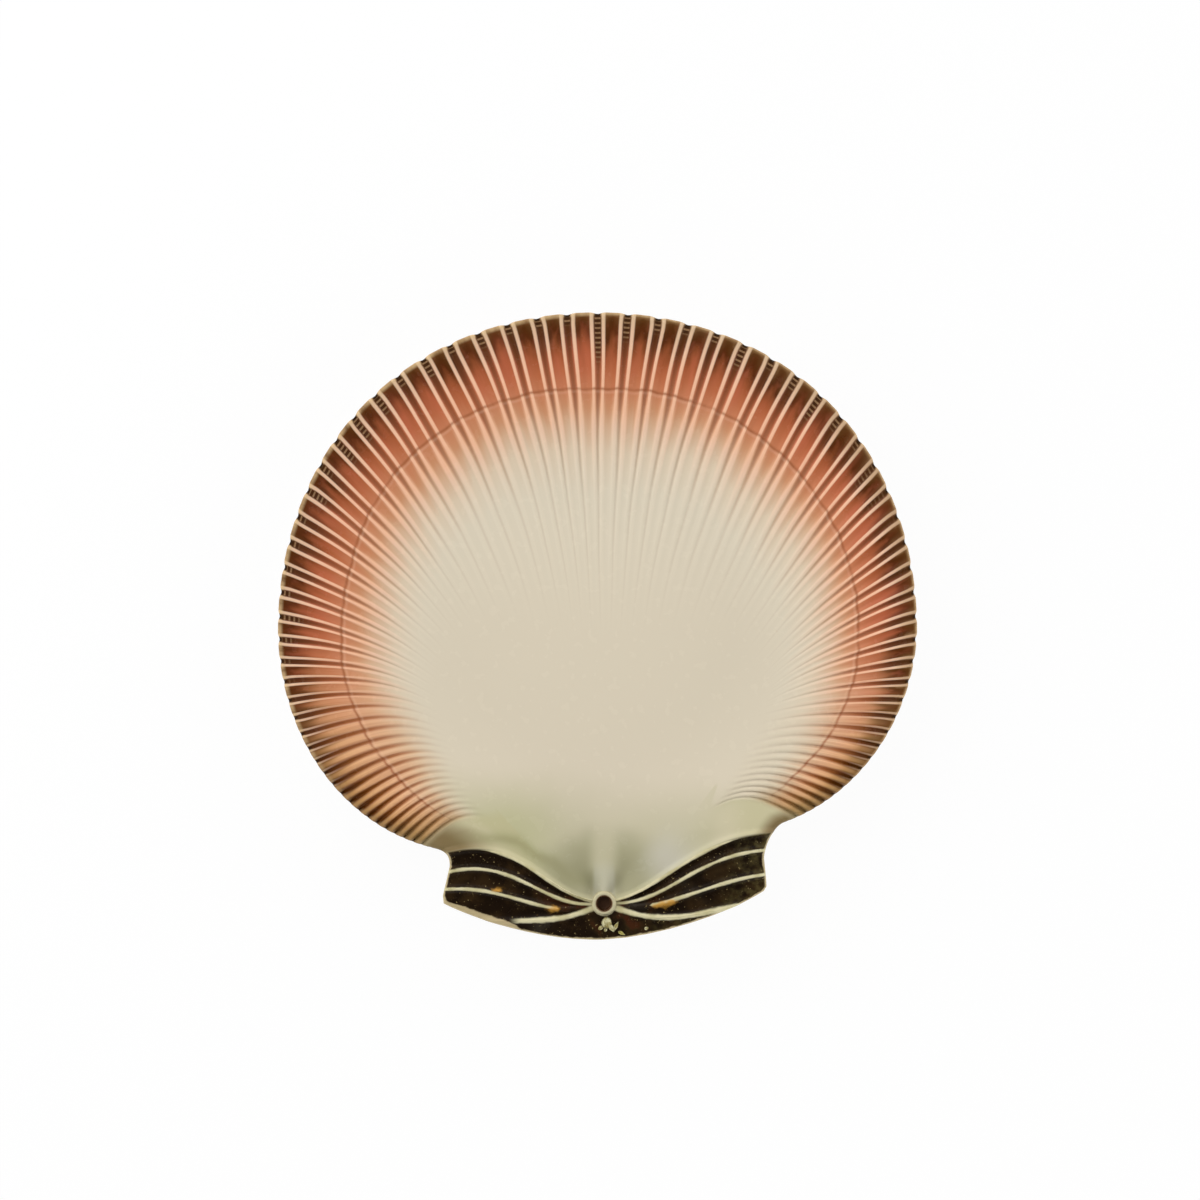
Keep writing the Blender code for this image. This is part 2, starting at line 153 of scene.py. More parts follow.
def bezier(controls: Sequence[Array], t: Array) -> Array:
    """Points on a cubic curve.

    Args:
        controls: Its four control points, each an array that ends in x, y.
        t: Places on the curve from 0 to 1, shaped to multiply the controls.

    Returns:
        The points.
    """
    p0, p1, p2, p3 = controls
    return (1 - t) ** 3 * p0 + 3 * t * (1 - t) ** 2 * p1 + 3 * t * t * (1 - t) * p2 + t ** 3 * p3


def running_length(path: Array) -> Array:
    """Length from the start of a polyline to each of its points.

    Args:
        path: Points, with x, y in the last axis and the run in the axis before it.

    Returns:
        The lengths.
    """
    steps = np.linalg.norm(np.diff(path, axis=-2), axis=-1)
    start = np.zeros(steps.shape[:-1] + (1,))
    return np.concatenate([start, np.cumsum(steps, axis=-1)], axis=-1)


def off_path(spots: Array, path: Array) -> tuple[Array, Array]:
    """Way off a polyline.

    Args:
        spots: Points in the plane.
        path: The polyline's points.

    Returns:
        The way off it and the place on it that is nearest, counted in its points.
    """
    steps = np.diff(path, axis=0)
    away = spots[:, None] - path[:-1]
    share = np.clip((away * steps).sum(axis=-1) / (steps ** 2).sum(axis=-1), 0.0, 1.0)
    gap = np.linalg.norm(away - share[..., None] * steps, axis=-1)
    best = gap.argmin(axis=1)[:, None]
    return (np.take_along_axis(gap, best, 1)[:, 0],
            (best + np.take_along_axis(share, best, 1))[:, 0])


def heading(turn: Array) -> Array:
    """Unit vectors at angles from +Y, positive to the right."""
    return np.stack([np.sin(turn), np.cos(turn)], axis=-1)


def display(red: float, green: float, blue: float) -> tuple[float, float, float, float]:
    """Linear colour of an eight-bit display colour.

    Args:
        red: Red from 0 to 255.
        green: Green from 0 to 255.
        blue: Blue from 0 to 255.

    Returns:
        The linear colour with full alpha.
    """
    shares = [channel / 255 for channel in (red, green, blue)]
    linear = [s / 12.92 if s <= 0.04045 else ((s + 0.055) / 1.055) ** 2.4 for s in shares]
    return linear[0], linear[1], linear[2], 1.0


# Form of the plate
@dataclass(frozen=True)
class EarForm:
    """One side of the plate: the end of its fan, its neck and its ear."""

    side: Side
    ribs: int
    cheek: float                 # draw-in that the rim would reach at the very bottom
    cheek_power: float           # how late the draw-in comes
    line_end: Knots              # direction of the rib lines at the rim, degrees from +Y
    neck: Point2
    corner: Point2
    bottom_slope: float
    ridges: tuple[Knots, ...]    # outline length, start and end direction, inner and outer handle
    drift: Knots                 # ribs by which the ribs leave their lines at the drift depth
    drift_power: float
    lean: Knots                  # the same for a lean that starts sooner
    growth: Knots                # depth of the growth line at the form's growth angles
    amber: tuple[Knots, ...]     # place and reach of the amber runs of glaze


LEFT_EAR = EarForm(
    side=Side.LEFT, ribs=38, cheek=47.7 * MM, cheek_power=2.0,
    line_end=(0, 25, 40, 65, 83, 101, 116, 128, 132),
    neck=(-51.5 * MM, -82.8 * MM), corner=(-54.4 * MM, -95.4 * MM), bottom_slope=24 * DEG,
    ridges=((4.0 * MM, 79, 104, .34, .49), (10.8 * MM, 93, 103, .34, .46),
            (17.0 * MM, 104, 95, .35, .42), (39.0 * MM, 112, 92, .34, .60)),
    drift=(0, 0.1, 0.8, 1.8, 4.2, 6.8), drift_power=1.65, lean=(0, -.15, -.15, 0, 0, 0),
    growth=(25.9 * MM, 24.6 * MM, 23.8 * MM, 22.9 * MM, 21.3 * MM, 20.5 * MM, 19.3 * MM,
            16.2 * MM, 14.6 * MM),
    amber=((-35.0 * MM, -90.8 * MM, 1.9 * MM), (-15.4 * MM, -97.6 * MM, 2.2 * MM)),
)
RIGHT_EAR = EarForm(
    side=Side.RIGHT, ribs=34, cheek=58.4 * MM, cheek_power=1.7,
    line_end=(0, 23, 39, 60, 80, 96, 111, 123, 128),
    neck=(58.0 * MM, -80.0 * MM), corner=(59.0 * MM, -90.6 * MM), bottom_slope=31 * DEG,
    ridges=((5.4 * MM, 75, 87, .30, .43), (11.8 * MM, 89, 85, .33, .45),
            (20.2 * MM, 99, 82, .32, .41), (36.5 * MM, 110, 76, .34, .50)),
    drift=(0, 0.1, 1.6, 2.1, 4.5, 6.6), drift_power=2.8, lean=(-.5, -.7, -.6, -.15, 0, 0),
    growth=(25.9 * MM, 24.7 * MM, 24.0 * MM, 21.6 * MM, 19.8 * MM, 18.2 * MM, 16.6 * MM,
            12.1 * MM, 10.8 * MM),
    amber=((20.4 * MM, -96.3 * MM, 2.0 * MM), (23.5 * MM, -95.8 * MM, 2.3 * MM),
           (26.4 * MM, -94.9 * MM, 2.0 * MM)),
)


@dataclass
class Lines:
    """A bundle of lines that run from the outline in to the hinge ring, one entry per line."""

    path: Array
    turn: Array                  # direction at the ring
    rib: Array
    fan: Array
    dark: Array
    growth: Array
    fade: Array

    def __post_init__(self) -> None:
        """Measures the lines."""
        self.run = running_length(self.path)
        self.length = self.run[:, -1]

    def __len__(self) -> int:
        """Number of lines."""
        return len(self.turn)

    def at(self, depth: Array) -> Array:
        """Point of each line at its own depth in from the outline.

        Args:
            depth: One depth per line.

        Returns:
            One x, y per line.
        """
        rows = np.arange(len(self))
        i = np.clip((self.run <= depth[:, None]).sum(axis=1) - 1, 0, self.run.shape[1] - 2)
        start, stop = self.run[rows, i], self.run[rows, i + 1]
        share = np.clip((depth - start) / (stop - start), 0.0, 1.0)[:, None]
        return self.path[rows, i] * (1 - share) + self.path[rows, i + 1] * share

    def normals(self) -> Array:
        """Unit vectors square to the outline and into the plate.

        Returns:
            One x, y per line.
        """
        ends = self.path[:, 0]
        along = np.roll(ends, -1, axis=0) - np.roll(ends, 1, axis=0)
        along /= np.linalg.norm(along, axis=1, keepdims=True)
        return np.stack([along[:, 1], -along[:, 0]], axis=1)

    def every(self, step: int) -> "Lines":
        """A bundle with only every so many of the lines."""
        return Lines(**{field.name: getattr(self, field.name)[::step] for field in fields(self)})


@dataclass(frozen=True)
class ShellForm:
    """Shape of the plate: its outline, the course of its ribs and its heights."""

    left: EarForm = LEFT_EAR
    right: EarForm = RIGHT_EAR
    # Rim
    fan_radius: float = 109.9 * MM
    side_swell: float = 1.1 * MM
    shoulder: float = 2.0 * MM
    rim_notch: float = 0.55 * MM
    notch_loss: float = 0.85     # share of a notch that is lost on the flanks
    notch_loss_over: float = 8   # ribs over which it is lost
    # Ribs
    pitch_top: float = 5.6 * DEG
    pitch_flank: float = 1.75 * DEG
    pitch_turn: float = 19.8
    pitch_blend: float = 4.6
    crest: float = 0.2
    channel_depth: float = 0.9 * MM
    flute_depth: float = 0.75 * MM
    flank_rib: float = 0.35 * MM
    flank_from: float = 16
    flank_full: float = 24
    drift_at: Knots = (13, 17, 21, 25, 31, 37)
    drift_depth: float = 50 * MM
    drift_most: float = 62 * MM
    drift_rounds: int = 20       # repeats in which the drifted coordinate settles
    lean_power: float = 1.3
    wander: float = 0.035        # ribs by which the hand-cut lines wander
    wander_runs: Point2 = (11 * MM, 19 * MM)
    wander_from: float = 4 * MM  # depth by which they wander in full
    end_ribs: float = 0.5        # ribs beside the fan's end that have no relief
    end_over: float = 1.5        # ribs over which it rises from there
    line_at: Knots = (0, 25, 50, 75, 90, 105, 120, 133, 143)
    line_start: Knots = (0, 14, 28, 40, 49, 58, 63, 65, 66)
    line_inner: Knots = (.29, .31, .31, .32, .34, .36, .39, .43, .46)
    line_outer: Knots = (.47, .47, .50, .55, .57, .59, .59, .53, .46)
    line_samples: int = 96
    outline_samples: int = 32    # steps along each part of an ear's outline
    tangent_step: float = 2 * DEG
    # Growth line and fade, as depths in from the rim
    growth_at: Knots = (0, 25, 50, 75, 95, 110, 122, 135, 143)
    growth_scallop: float = 0.25 * MM    # by which it lies further in at the middle of a rib
    growth_wander: float = 0.12 * MM
    growth_width: float = 0.9 * MM
    growth_depth: float = 0.1 * MM
    growth_most: float = 0.24
    fade_at: Knots = (0, 30, 60, 90, 120, 143)
    fade_in: Knots = (126 * MM, 112 * MM, 84 * MM, 66 * MM, 56 * MM, 48 * MM)
    fade_most: float = 0.66
    fade_power: float = 1.5
    # Ears and hinge
    ear_top: float = -58 * MM            # nothing of the ears lies above this
    tail: Point2 = (-0.4 * MM, -108.3 * MM)
    tail_handle: float = 0.33
    neck_handle: float = 4.0 * MM
    corner_cut: float = 3.2 * MM
    bottom_handle: float = 17 * MM
    ear_ridge: float = 1.4 * MM
    ridge_half: float = 2.0 * MM         # half of a ridge's width
    ridge_rise: float = 11 * MM
    paint_half: Knots = (0.5 * MM, 0.52 * MM, 0.54 * MM, 0.85 * MM)
    paint_start: Knots = (0, 0, 17 * MM, 0)      # where each ridge's paint starts from the ring
    paint_fade: float = 3 * MM           # length over which it starts there
    paint_taper: float = 22 * MM         # way in over which the first ridge's paint starts
    paint_wear: float = 0.12             # share by which its width varies
    paint_wave: float = 2.7 * MM
    paint_gone: float = 3.0              # half widths that hide a ridge's paint
    dark_from: float = 0.91              # share of an ear's first band where the dark glaze starts
    dark_over: float = 0.13
    hinge: Point2 = (2.3 * MM, -95.7 * MM)
    ring_radius: float = 4.2 * MM
    ring_hole: float = 2.5 * MM
    ring_height: float = 1.3 * MM
    hole_depth: float = 2.2 * MM
    umbo_height: float = 1.1 * MM
    umbo_length: float = 24 * MM
    umbo_turn: float = 78 * DEG
    # Section
    wall: float = 4.4 * MM
    rim_height: float = 22 * MM
    flat_share: float = 0.42
    bowl_power: float = 1.9
    neck_dip: float = 9 * MM
    neck_dip_at: float = 143 * DEG
    neck_dip_half: float = 48 * DEG
    ear_from: float = 132 * DEG
    ear_full: float = 152 * DEG
    ear_level: float = 0.80
    ear_softness: float = 0.05
    ear_tilt: float = 0.30
    foot_height: float = 3.0 * MM

    # Outline
    def full_radius(self, phi: Array) -> Array:
        """Radius of the round fan before it draws in towards the ears."""
        return (self.fan_radius + self.side_swell * np.sin(phi) ** 2
                + self.shoulder * np.sin(2 * phi) ** 2)

    def rim_point(self, phi: Array) -> Array:
        """Points of the fan's rim at angles from its top, positive to the right.

        Args:
            phi: The angles.

        Returns:
            One x, y per angle.
        """
        past = np.maximum(np.abs(phi) / (math.pi / 2) - 1, 0.0)
        left = self.left.cheek * past ** self.left.cheek_power
        right = self.right.cheek * past ** self.right.cheek_power
        radius = self.full_radius(phi) - np.where(phi > 0, right, left)
        return radius[..., None] * heading(phi)

    def rib_angle(self, n: Array) -> Array:
        """Angle at the rim of each rib: the pitch falls from its top value to its flank value.

        Args:
            n: Rib coordinates.

        Returns:
            The angles.
        """
        count = np.abs(n)
        late = np.log1p(np.exp((count - self.pitch_turn) / self.pitch_blend))
        early = math.log1p(math.exp(-self.pitch_turn / self.pitch_blend))
        turned = self.pitch_blend * (late - early)
        angle = self.pitch_top * count - (self.pitch_top - self.pitch_flank) * turned
        return np.sign(n) * angle

    def ear_outline(self, ear: EarForm) -> Array:
        """Polyline from the fan's end round one ear to the tail.

        Args:
            ear: The ear.

        Returns:
            Its points in order.
        """
        sign = ear.side.value
        end = self.rib_angle(np.array(sign * (ear.ribs + 0.5)))
        start, before = self.rim_point(end), self.rim_point(end - sign * self.tangent_step)
        lead = start + (start - before) / np.linalg.norm(start - before) * self.neck_handle
        neck, corner, tail = (np.array(p) for p in (ear.neck, ear.corner, self.tail))
        stop = corner + (neck - corner) / np.linalg.norm(neck - corner) * self.corner_cut
        inward = np.array([-sign * math.cos(ear.bottom_slope), -math.sin(ear.bottom_slope)])
        leave = corner + inward * self.corner_cut
        parts = (
            (start, lead, neck + (0, self.neck_handle), neck),
            (neck, neck, stop, stop),
            (stop, corner, corner, leave),
            (leave, leave + inward * self.bottom_handle,
             tail + (sign * self.bottom_handle, 0), tail),
        )
        t = np.linspace(0, 1, self.outline_samples + 1)[1:, None]
        return np.concatenate([start[None], *(bezier(part, t) for part in parts)])

    # Lines
    def course(self, n: Array) -> Array:
        """Course of the rib lines: start and end direction in degrees, inner and outer handle.

        Args:
            n: Rib coordinates.

        Returns:
            One row of four numbers per line.
        """
        turn = np.abs(self.rib_angle(n)) / DEG
        sign = np.where(n < 0, -1, 1)
        ends = [smooth_curve(self.line_at, ear.line_end, turn) for ear in (self.left, self.right)]
        return np.stack([sign * smooth_curve(self.line_at, self.line_start, turn),
                         sign * np.where(n < 0, ends[0], ends[1]),
                         smooth_curve(self.line_at, self.line_inner, turn),
                         smooth_curve(self.line_at, self.line_outer, turn)], axis=-1)

    def paths(self, ends: Array, course: Array) -> Array:
        """Curves from points of the outline in to the ring.

        Args:
            ends: One point of the outline per line.
            course: One row per line, as course() gives it.

        Returns:
            Points, as lines by samples by two.
        """
        leave, arrive = heading(course[:, 0] * DEG), heading(course[:, 1] * DEG)
        start = np.array(self.hinge) + self.ring_radius * leave
        chord = np.linalg.norm(ends - start, axis=1, keepdims=True)
        controls = (ends, ends - course[:, 3:4] * chord * arrive,
                    start + course[:, 2:3] * chord * leave, start)
        t = np.linspace(0, 1, self.line_samples + 1)[None, :, None]
        return bezier([c[:, None] for c in controls], t)

    def bundle(self, ends: Array, course: Array, **marks: Array) -> Lines:
        """Lines with their growth line and fade.

        Args:
            ends: One point of the outline per line.
            course: One row per line, as course() gives it.
            **marks: Rib, fan and dark of each line.

        Returns:
            The bundle.
        """
        path = self.paths(ends, course)
        length = running_length(path)[:, -1]
        angle = np.abs(np.arctan2(ends[:, 0], ends[:, 1])) / DEG
        left, right = (smooth_curve(self.growth_at, ear.growth, angle)
                       for ear in (self.left, self.right))
        n = marks["rib"]
        growth = np.minimum(np.where(n < 0, left, right), self.growth_most * length)
        growth += self.growth_scallop * (0.5 - 0.5 * np.cos(2 * math.pi * n))
        # Two waves of unlike length, so that the wander doesn't repeat
        growth += self.growth_wander * (np.sin(angle * 0.37) + np.sin(angle * 0.83 + n * 0.6))
        fade = np.minimum(smooth_curve(self.fade_at, self.fade_in, angle),
                          self.fade_most * length)
        return Lines(path=path, turn=course[:, 0] * DEG, growth=growth, fade=fade, **marks)

    def fan_lines(self, fine: Sequence[float], plain: Sequence[float], until: int) -> Lines:
        """Lines of the fan, from left to right.

        Args:
            fine: Shares of a rib at which a two-ridged rib has lines.
            plain: The same for a broad flank rib.
            until: Last rib with the fine shares.

        Returns:
            The bundle.
        """
        ribs = []
        for n in range(-self.left.ribs, self.right.ribs + 1):
            shares = fine if abs(n) <= until else plain
            ribs += [n + share for share in shares
                     if -self.left.ribs - 0.5 < n + share < self.right.ribs + 0.5]
        n = np.array(ribs)
        blank = np.zeros(len(n))
        return self.bundle(self.rim_point(self.rib_angle(n)), self.course(n),
                           rib=n, fan=blank + 1, dark=blank)

    def ear_keys(self, ear: EarForm) -> Array:
        """Outline length and course of the fan's last line, the ear's ridges and the tail.

        Args:
            ear: The ear.

        Returns:
            One row of five numbers per line.
        """
        sign = ear.side.value
        first = self.course(np.array([sign * (ear.ribs + 0.5)]))[0] * (sign, sign, 1, 1)
        whole = running_length(self.ear_outline(ear))[-1]
        return np.array([(0.0, *first), *ear.ridges,
                         (whole, 180, 180, self.tail_handle, self.tail_handle)])

    def ear_ends(self, ear: EarForm, lengths: Array) -> Array:
        """Points of an ear's outline at lengths from the fan's end.

        Args:
            ear: The ear.
            lengths: The lengths.

        Returns:
            One x, y per length.
        """
        outline = self.ear_outline(ear)
        run = running_length(outline)
        return np.stack([np.interp(lengths, run, outline[:, k]) for k in (0, 1)], axis=1)

    def ear_lines(self, ear: EarForm, near: Sequence[float], between: int) -> Lines:
        """Lines of one ear, from the fan's end to just before the tail.

        Args:
            ear: The ear.
            near: Lengths off a ridge at which it has lines, at the outline.
            between: Number of further lines from one ridge to the next.

        Returns:
            The bundle.
        """
        keys = self.ear_keys(ear)
        sign = ear.side.value
        spots, darks = [], []
        for band, (key, following) in enumerate(zip(keys, keys[1:])):
            width = following[0] - key[0]
            close = np.array(near) / max(width, 2.4 * near[-1])
            middle = np.linspace(close[-1], 1 - close[-1], between + 2)[1:-1]
            share = np.concatenate([close, middle, 1 - close[:0:-1]])
            spots.append(key + (following - key) * share[:, None])
            darks.append(band + share)
        spot = np.concatenate(spots)
        dark = smooth_step((np.concatenate(darks) - self.dark_from) / self.dark_over)
        blank = np.zeros(len(spot))
        return self.bundle(self.ear_ends(ear, spot[:, 0]), spot[:, 1:] * (sign, sign, 1, 1),
                           rib=blank + sign * (ear.ribs + 0.5), fan=blank, dark=dark)

    def tail_line(self) -> Lines:
        """The single line from the tail to the ring.

        Returns:
            It, as a bundle.
        """
        one, none = np.ones(1), np.zeros(1)
        course = np.array([[180, 180, self.tail_handle, self.tail_handle]])
        return self.bundle(np.array([self.tail]), course, rib=none, fan=none, dark=one)

    def ridge_paths(self) -> list[tuple[int, Array]]:
        """Number and path of each ear ridge, from the outline to the ring.

        Returns:
            Them, the left ear's first.
        """
        found = []
        for ear in (self.left, self.right):
            keys = self.ear_keys(ear)[1:-1]
            course = keys[:, 1:] * (ear.side.value, ear.side.value, 1, 1)
            found += list(enumerate(self.paths(self.ear_ends(ear, keys[:, 0]), course)))
        return found

    def off_ridges(self, spot: Array) -> tuple[Array, Array, Array]:
        """Way off the ears' ridges and outlines of points in the plane.

        Args:
            spot: The points.

        Returns:
            The way off the nearest ridge, off the nearest painted one in half widths of it, and
            in from the outline.
        """
        off, painted = np.full(len(spot), 1.0), np.full(len(spot), 99.0)
        edge = np.full(len(spot), 1.0)
        near = np.flatnonzero(spot[:, 1] < self.ear_top)
        for number, path in self.ridge_paths():
            gap, at = off_path(spot[near], path)
            off[near] = np.minimum(off[near], gap)
            from_ring = np.linalg.norm(path - self.hinge, axis=-1)
            start = self.paint_start[number]
            worn = 1 + self.paint_wear * np.sin(from_ring / self.paint_wave + number * 2.1)
            shown = np.ones(len(path))
            if number == 0:
                shown = smooth_step(running_length(path) / self.paint_taper)
            elif start:
                shown = smooth_step((from_ring - start + self.paint_fade) / self.paint_fade)
            half, hidden = (np.interp(at, np.arange(len(path)), values)
                            for values in (self.paint_half[number] * worn, 1 - shown))
            painted[near] = np.minimum(painted[near], gap / half + self.paint_gone * hidden)
        for ear in (self.left, self.right):
            edge[near] = np.minimum(edge[near], off_path(spot[near], self.ear_outline(ear))[0])
        return off, painted, edge

    def ambers(self, spot: Array) -> Array:
        """Strength of the amber runs of glaze at points in the plane.

        Args:
            spot: The points.

        Returns:
            The strength from 0 to 1.
        """
        strength = np.zeros(len(spot))
        for x, y, reach in (*self.left.amber, *self.right.amber):
            away = (spot - (x, y)) / (reach, reach * 0.6)
            strength = np.maximum(strength, np.exp(-(away ** 2).sum(axis=1)))
        return strength

    # Heights
    def dish(self, spot: Array) -> Array:
        """Height of the inside without its ribs, at points in the plane.

        Args:
            spot: The points.

        Returns:
            The heights.
        """
        phi = np.arctan2(spot[..., 0], spot[..., 1])
        dip = np.maximum(0.0, 1 - np.abs(np.abs(phi) - self.neck_dip_at) / self.neck_dip_half)
        bowl = self.full_radius(phi) - self.neck_dip * smooth_step(dip)
        share = np.linalg.norm(spot, axis=-1) / bowl
        climb = np.maximum(0.0, (share - self.flat_share) / (1 - self.flat_share))
        over = (climb - self.ear_level) / self.ear_softness
        ear = smooth_step((np.abs(phi) - self.ear_from) / (self.ear_full - self.ear_from))
        climb = climb - ear * (1 - self.ear_tilt) * self.ear_softness * np.log1p(np.exp(over))
        floor = self.foot_height + self.wall
        return floor + (self.rim_height - floor) * np.maximum(0.0, climb) ** self.bowl_power

    def rib_relief(self, n: Array) -> Array:
        """Height at rib coordinates, measured from the crests of the ridges.

        Args:
            n: The coordinates.

        Returns:
            The heights.
        """
        off = np.abs(n - np.round(n))
        dip = -self.channel_depth * np.cos(math.pi / 2 * off / self.crest) ** 2
        sweep = (off - self.crest) / (0.5 - self.crest)
        flute = -self.flute_depth * np.sin(math.pi / 2 * sweep) ** 2
        fluted = np.where(off < self.crest, dip, flute)
        groove = -self.channel_depth * np.cos(math.pi * off) ** 6
        broad = groove + self.flank_rib * np.sin(math.pi * off) ** 2
        blend = smooth_step((np.abs(n) - self.flank_from) / (self.flank_full - self.flank_from))
        return fluted + (broad - fluted) * blend

    def relief(self, lines: Lines, depth: Array) -> Array:
        """Height added to the dish along lines, at a depth of each in from the outline.

        Args:
            lines: The lines.
            depth: One depth per line.

        Returns:
            The heights.
        """
        from_ring = lines.length - depth
        off = self.off_ridges(lines.at(depth))[0]
        crest = smooth_step(1 - off / self.ridge_half)
        height = self.ear_ridge * crest * smooth_step(from_ring / self.ridge_rise)
        swing = np.cos(2 * math.pi * lines.turn / self.umbo_turn)
        near = 1 - smooth_step(from_ring / self.umbo_length)
        height += np.where(np.abs(lines.turn) < self.umbo_turn, self.umbo_height * swing * near, 0)
        faded = (1 - smooth_step(depth / lines.fade)) ** self.fade_power
        rib = self.carried(lines, depth)
        left = smooth_step((self.ribs_left(rib) - self.end_ribs) / self.end_over)
        off = np.abs(depth - lines.growth) / (self.growth_width / 2)
        ribbed = self.rib_relief(rib) * faded * left
        ribbed -= self.growth_depth * smooth_step(1 - off) * left
        return height + ribbed * (lines.fan > 0)

    def carried(self, lines: Lines, depth: Array) -> Array:
        """Rib coordinate on each line at a depth: on the flanks the ribs drift off the lines.

        Args:
            lines: The lines.
            depth: One depth per line.

        Returns:
            The coordinate, past the last rib's where the ribs have moved on towards the top.
        """
        start = np.abs(lines.rib)
        share = np.minimum(depth, self.drift_most) / self.drift_depth
        found = start
        for _ in range(self.drift_rounds):
            moved = [smooth_curve(self.drift_at, ear.drift, found) * share ** ear.drift_power
                     + smooth_curve(self.drift_at, ear.lean, found) * share ** self.lean_power
                     for ear in (self.left, self.right)]
            calm = smooth_step(found / self.drift_at[0])
            found = start + np.where(lines.rib < 0, moved[0], moved[1]) * calm
        rib = np.sign(lines.rib) * found
        short, long = self.wander_runs
        wave = np.sin(rib * 2.3 + depth / short) * np.sin(rib * 0.9 - depth / long)
        return rib + self.wander * wave * smooth_step(depth / self.wander_from)

    def ribs_left(self, rib: Array) -> Array:
        """Ribs between a rib coordinate and the end of the fan on its side."""
        return np.where(rib < 0, self.left.ribs, self.right.ribs) + 0.5 - np.abs(rib)


# The body
@dataclass(frozen=True)
class ShellBody:
    """The whole plate as one closed glazed body."""

    form: ShellForm = ShellForm()
    # Lines, as shares of a rib or of the space between two ridges of an ear
    fine_shares: Knots = (-.36, -.28, -.23, -.18, -.12, -.06, 0, .06, .12, .18, .23, .28, .36, .5)
    plain_shares: Knots = (-.38, -.25, -.12, 0, .12, .25, .38, .5)
    fine_until: int = 20
    ridge_offsets: Knots = (0, 0.4 * MM, 0.8 * MM, 1.2 * MM, 1.7 * MM, 2.4 * MM)
    ridge_gaps: int = 5
    # Edge
    edge_round: float = 1.7 * MM
    edge_most: float = 0.15
    edge_middle: float = 0.32
    edge_under: float = 2.0 * MM
    # Rows
    edge_rows: int = 5
    rim_rows: int = 20
    growth_offsets: Knots = (-1, -.5, 0, .5, 1)  # rows across the growth line, in half widths
    fade_rows: int = 17
    fade_crowding: float = 1.25                  # how much closer they lie beside the growth line
    well_shares: Knots = (0, .10, .2, .3, .4, .5, .6, .68, .76, .83, .89, .94, .97, 1.0)
    bead_rows: int = 9
    bead_fullness: float = 0.8
    hole_profile: tuple[Point2, ...] = ((.97, .4), (.94, .75), (.84, .94), (.6, 1.0))
    under_rows: int = 16
    under_from: float = 0.09                     # share of the way to the foot of the first row
    # Foot
    foot_centre: Point2 = (0.0, -3.0 * MM)
    foot_radius: float = 60 * MM
    foot_width: float = 4.5 * MM
    foot_fillet: float = 1.2 * MM
    smooth_up_to: float = 50 * DEG
    weld: float = 0.0005 * MM

    def build(self) -> bpy.types.Object:
        """Models the body and returns it.

        Returns:
            The body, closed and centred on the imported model.
        """
        lines = self.all_lines()
        edge = {key: value[::2] if np.ndim(value) else value
                for key, value in self.under_edge(lines)[-1].items()}
        parts = [self.face(lines), self.well(lines.every(2)), self.back(lines.every(2), edge)]
        select_only(*parts)
        bpy.ops.object.join()
        body = bpy.context.object
        body.name = body.data.name = "shell_plate"
        for border in (Border.WELL, Border.EDGE):
            select_border(body, border)
            bpy.ops.mesh.remove_doubles(threshold=self.weld)
            bpy.ops.object.mode_set(mode="OBJECT")
        for border in (Border.HOLE, Border.FLOOR):
            select_border(body, border)
            bpy.ops.mesh.extrude_edges_move()
            bpy.ops.mesh.merge(type="CENTER")
            bpy.ops.object.mode_set(mode="OBJECT")
        finish_shell(body, self.smooth_up_to)
        centre_on(body, CAD_BOX)
        return body

    def all_lines(self) -> Lines:
        """All lines in order round the plate, clockwise from the tail.

        Returns:
            The bundle.
        """
        form = self.form
        groups = [form.tail_line(),
                  form.ear_lines(form.left, self.ridge_offsets, self.ridge_gaps),
                  form.fan_lines(self.fine_shares, self.plain_shares, self.fine_until),
                  form.ear_lines(form.right, self.ridge_offsets, self.ridge_gaps)]
        joined = {}
        for field in fields(Lines):
            stacks = [getattr(group, field.name) for group in groups]
            stacks[1] = stacks[1][::-1]     # the left ear runs the other way round the plate
            joined[field.name] = np.concatenate(stacks)
        return Lines(**joined)

    def sheet(self, name: str, lines: Lines, rows: list[dict[str, Array]],
              halved: bool = False) -> bpy.types.Object:
        """A closed strip of the body, laid from a grid primitive.

        Args:
            name: Name of the new object.
            lines: The lines that its columns follow.
            rows: One entry per section, from its first border to its last.
            halved: Whether its first and last row keep only every second line.

        Returns:
            The strip, with its layers stored at its vertices.
        """
        across, up = len(lines), len(rows)
        keep = np.arange(across)
        if halved:
            keep = keep // 2 * 2
            for row in (rows[0], rows[-1]):
                row.update({key: np.asarray(value * np.ones(across))[keep]
                            for key, value in row.items() if key != "spot"})
                row["spot"] = row["spot"][keep]
        select_only()
        bpy.ops.mesh.primitive_grid_add(x_subdivisions=across, y_subdivisions=up - 1)
        piece = bpy.context.object
        piece.name = name
        mesh = piece.data
        spots = np.stack([np.column_stack([row["spot"], row["height"]]) for row in rows])
        spots = np.concatenate([spots, spots[:, :1]], axis=1)
        mesh.vertices.foreach_set("co", spots.ravel())
        for layer in BODY_LAYERS:
            values = np.stack([row[layer.value] * np.ones(across) for row in rows])
            values = np.concatenate([values, values[:, :1]], axis=1)
            mesh.attributes.new(layer.value, "FLOAT", "POINT").data.foreach_set(
                "value", values.ravel().astype(np.float32))
        mesh.update()
        seam = np.zeros((up, across + 1), bool)
        seam[:, (0, -1)] = True
        seam[(0, -1), :] |= halved
        select_vertices(piece, seam.ravel())
        bpy.ops.mesh.remove_doubles(threshold=self.weld)
        bpy.ops.object.mode_set(mode="OBJECT")
        return piece

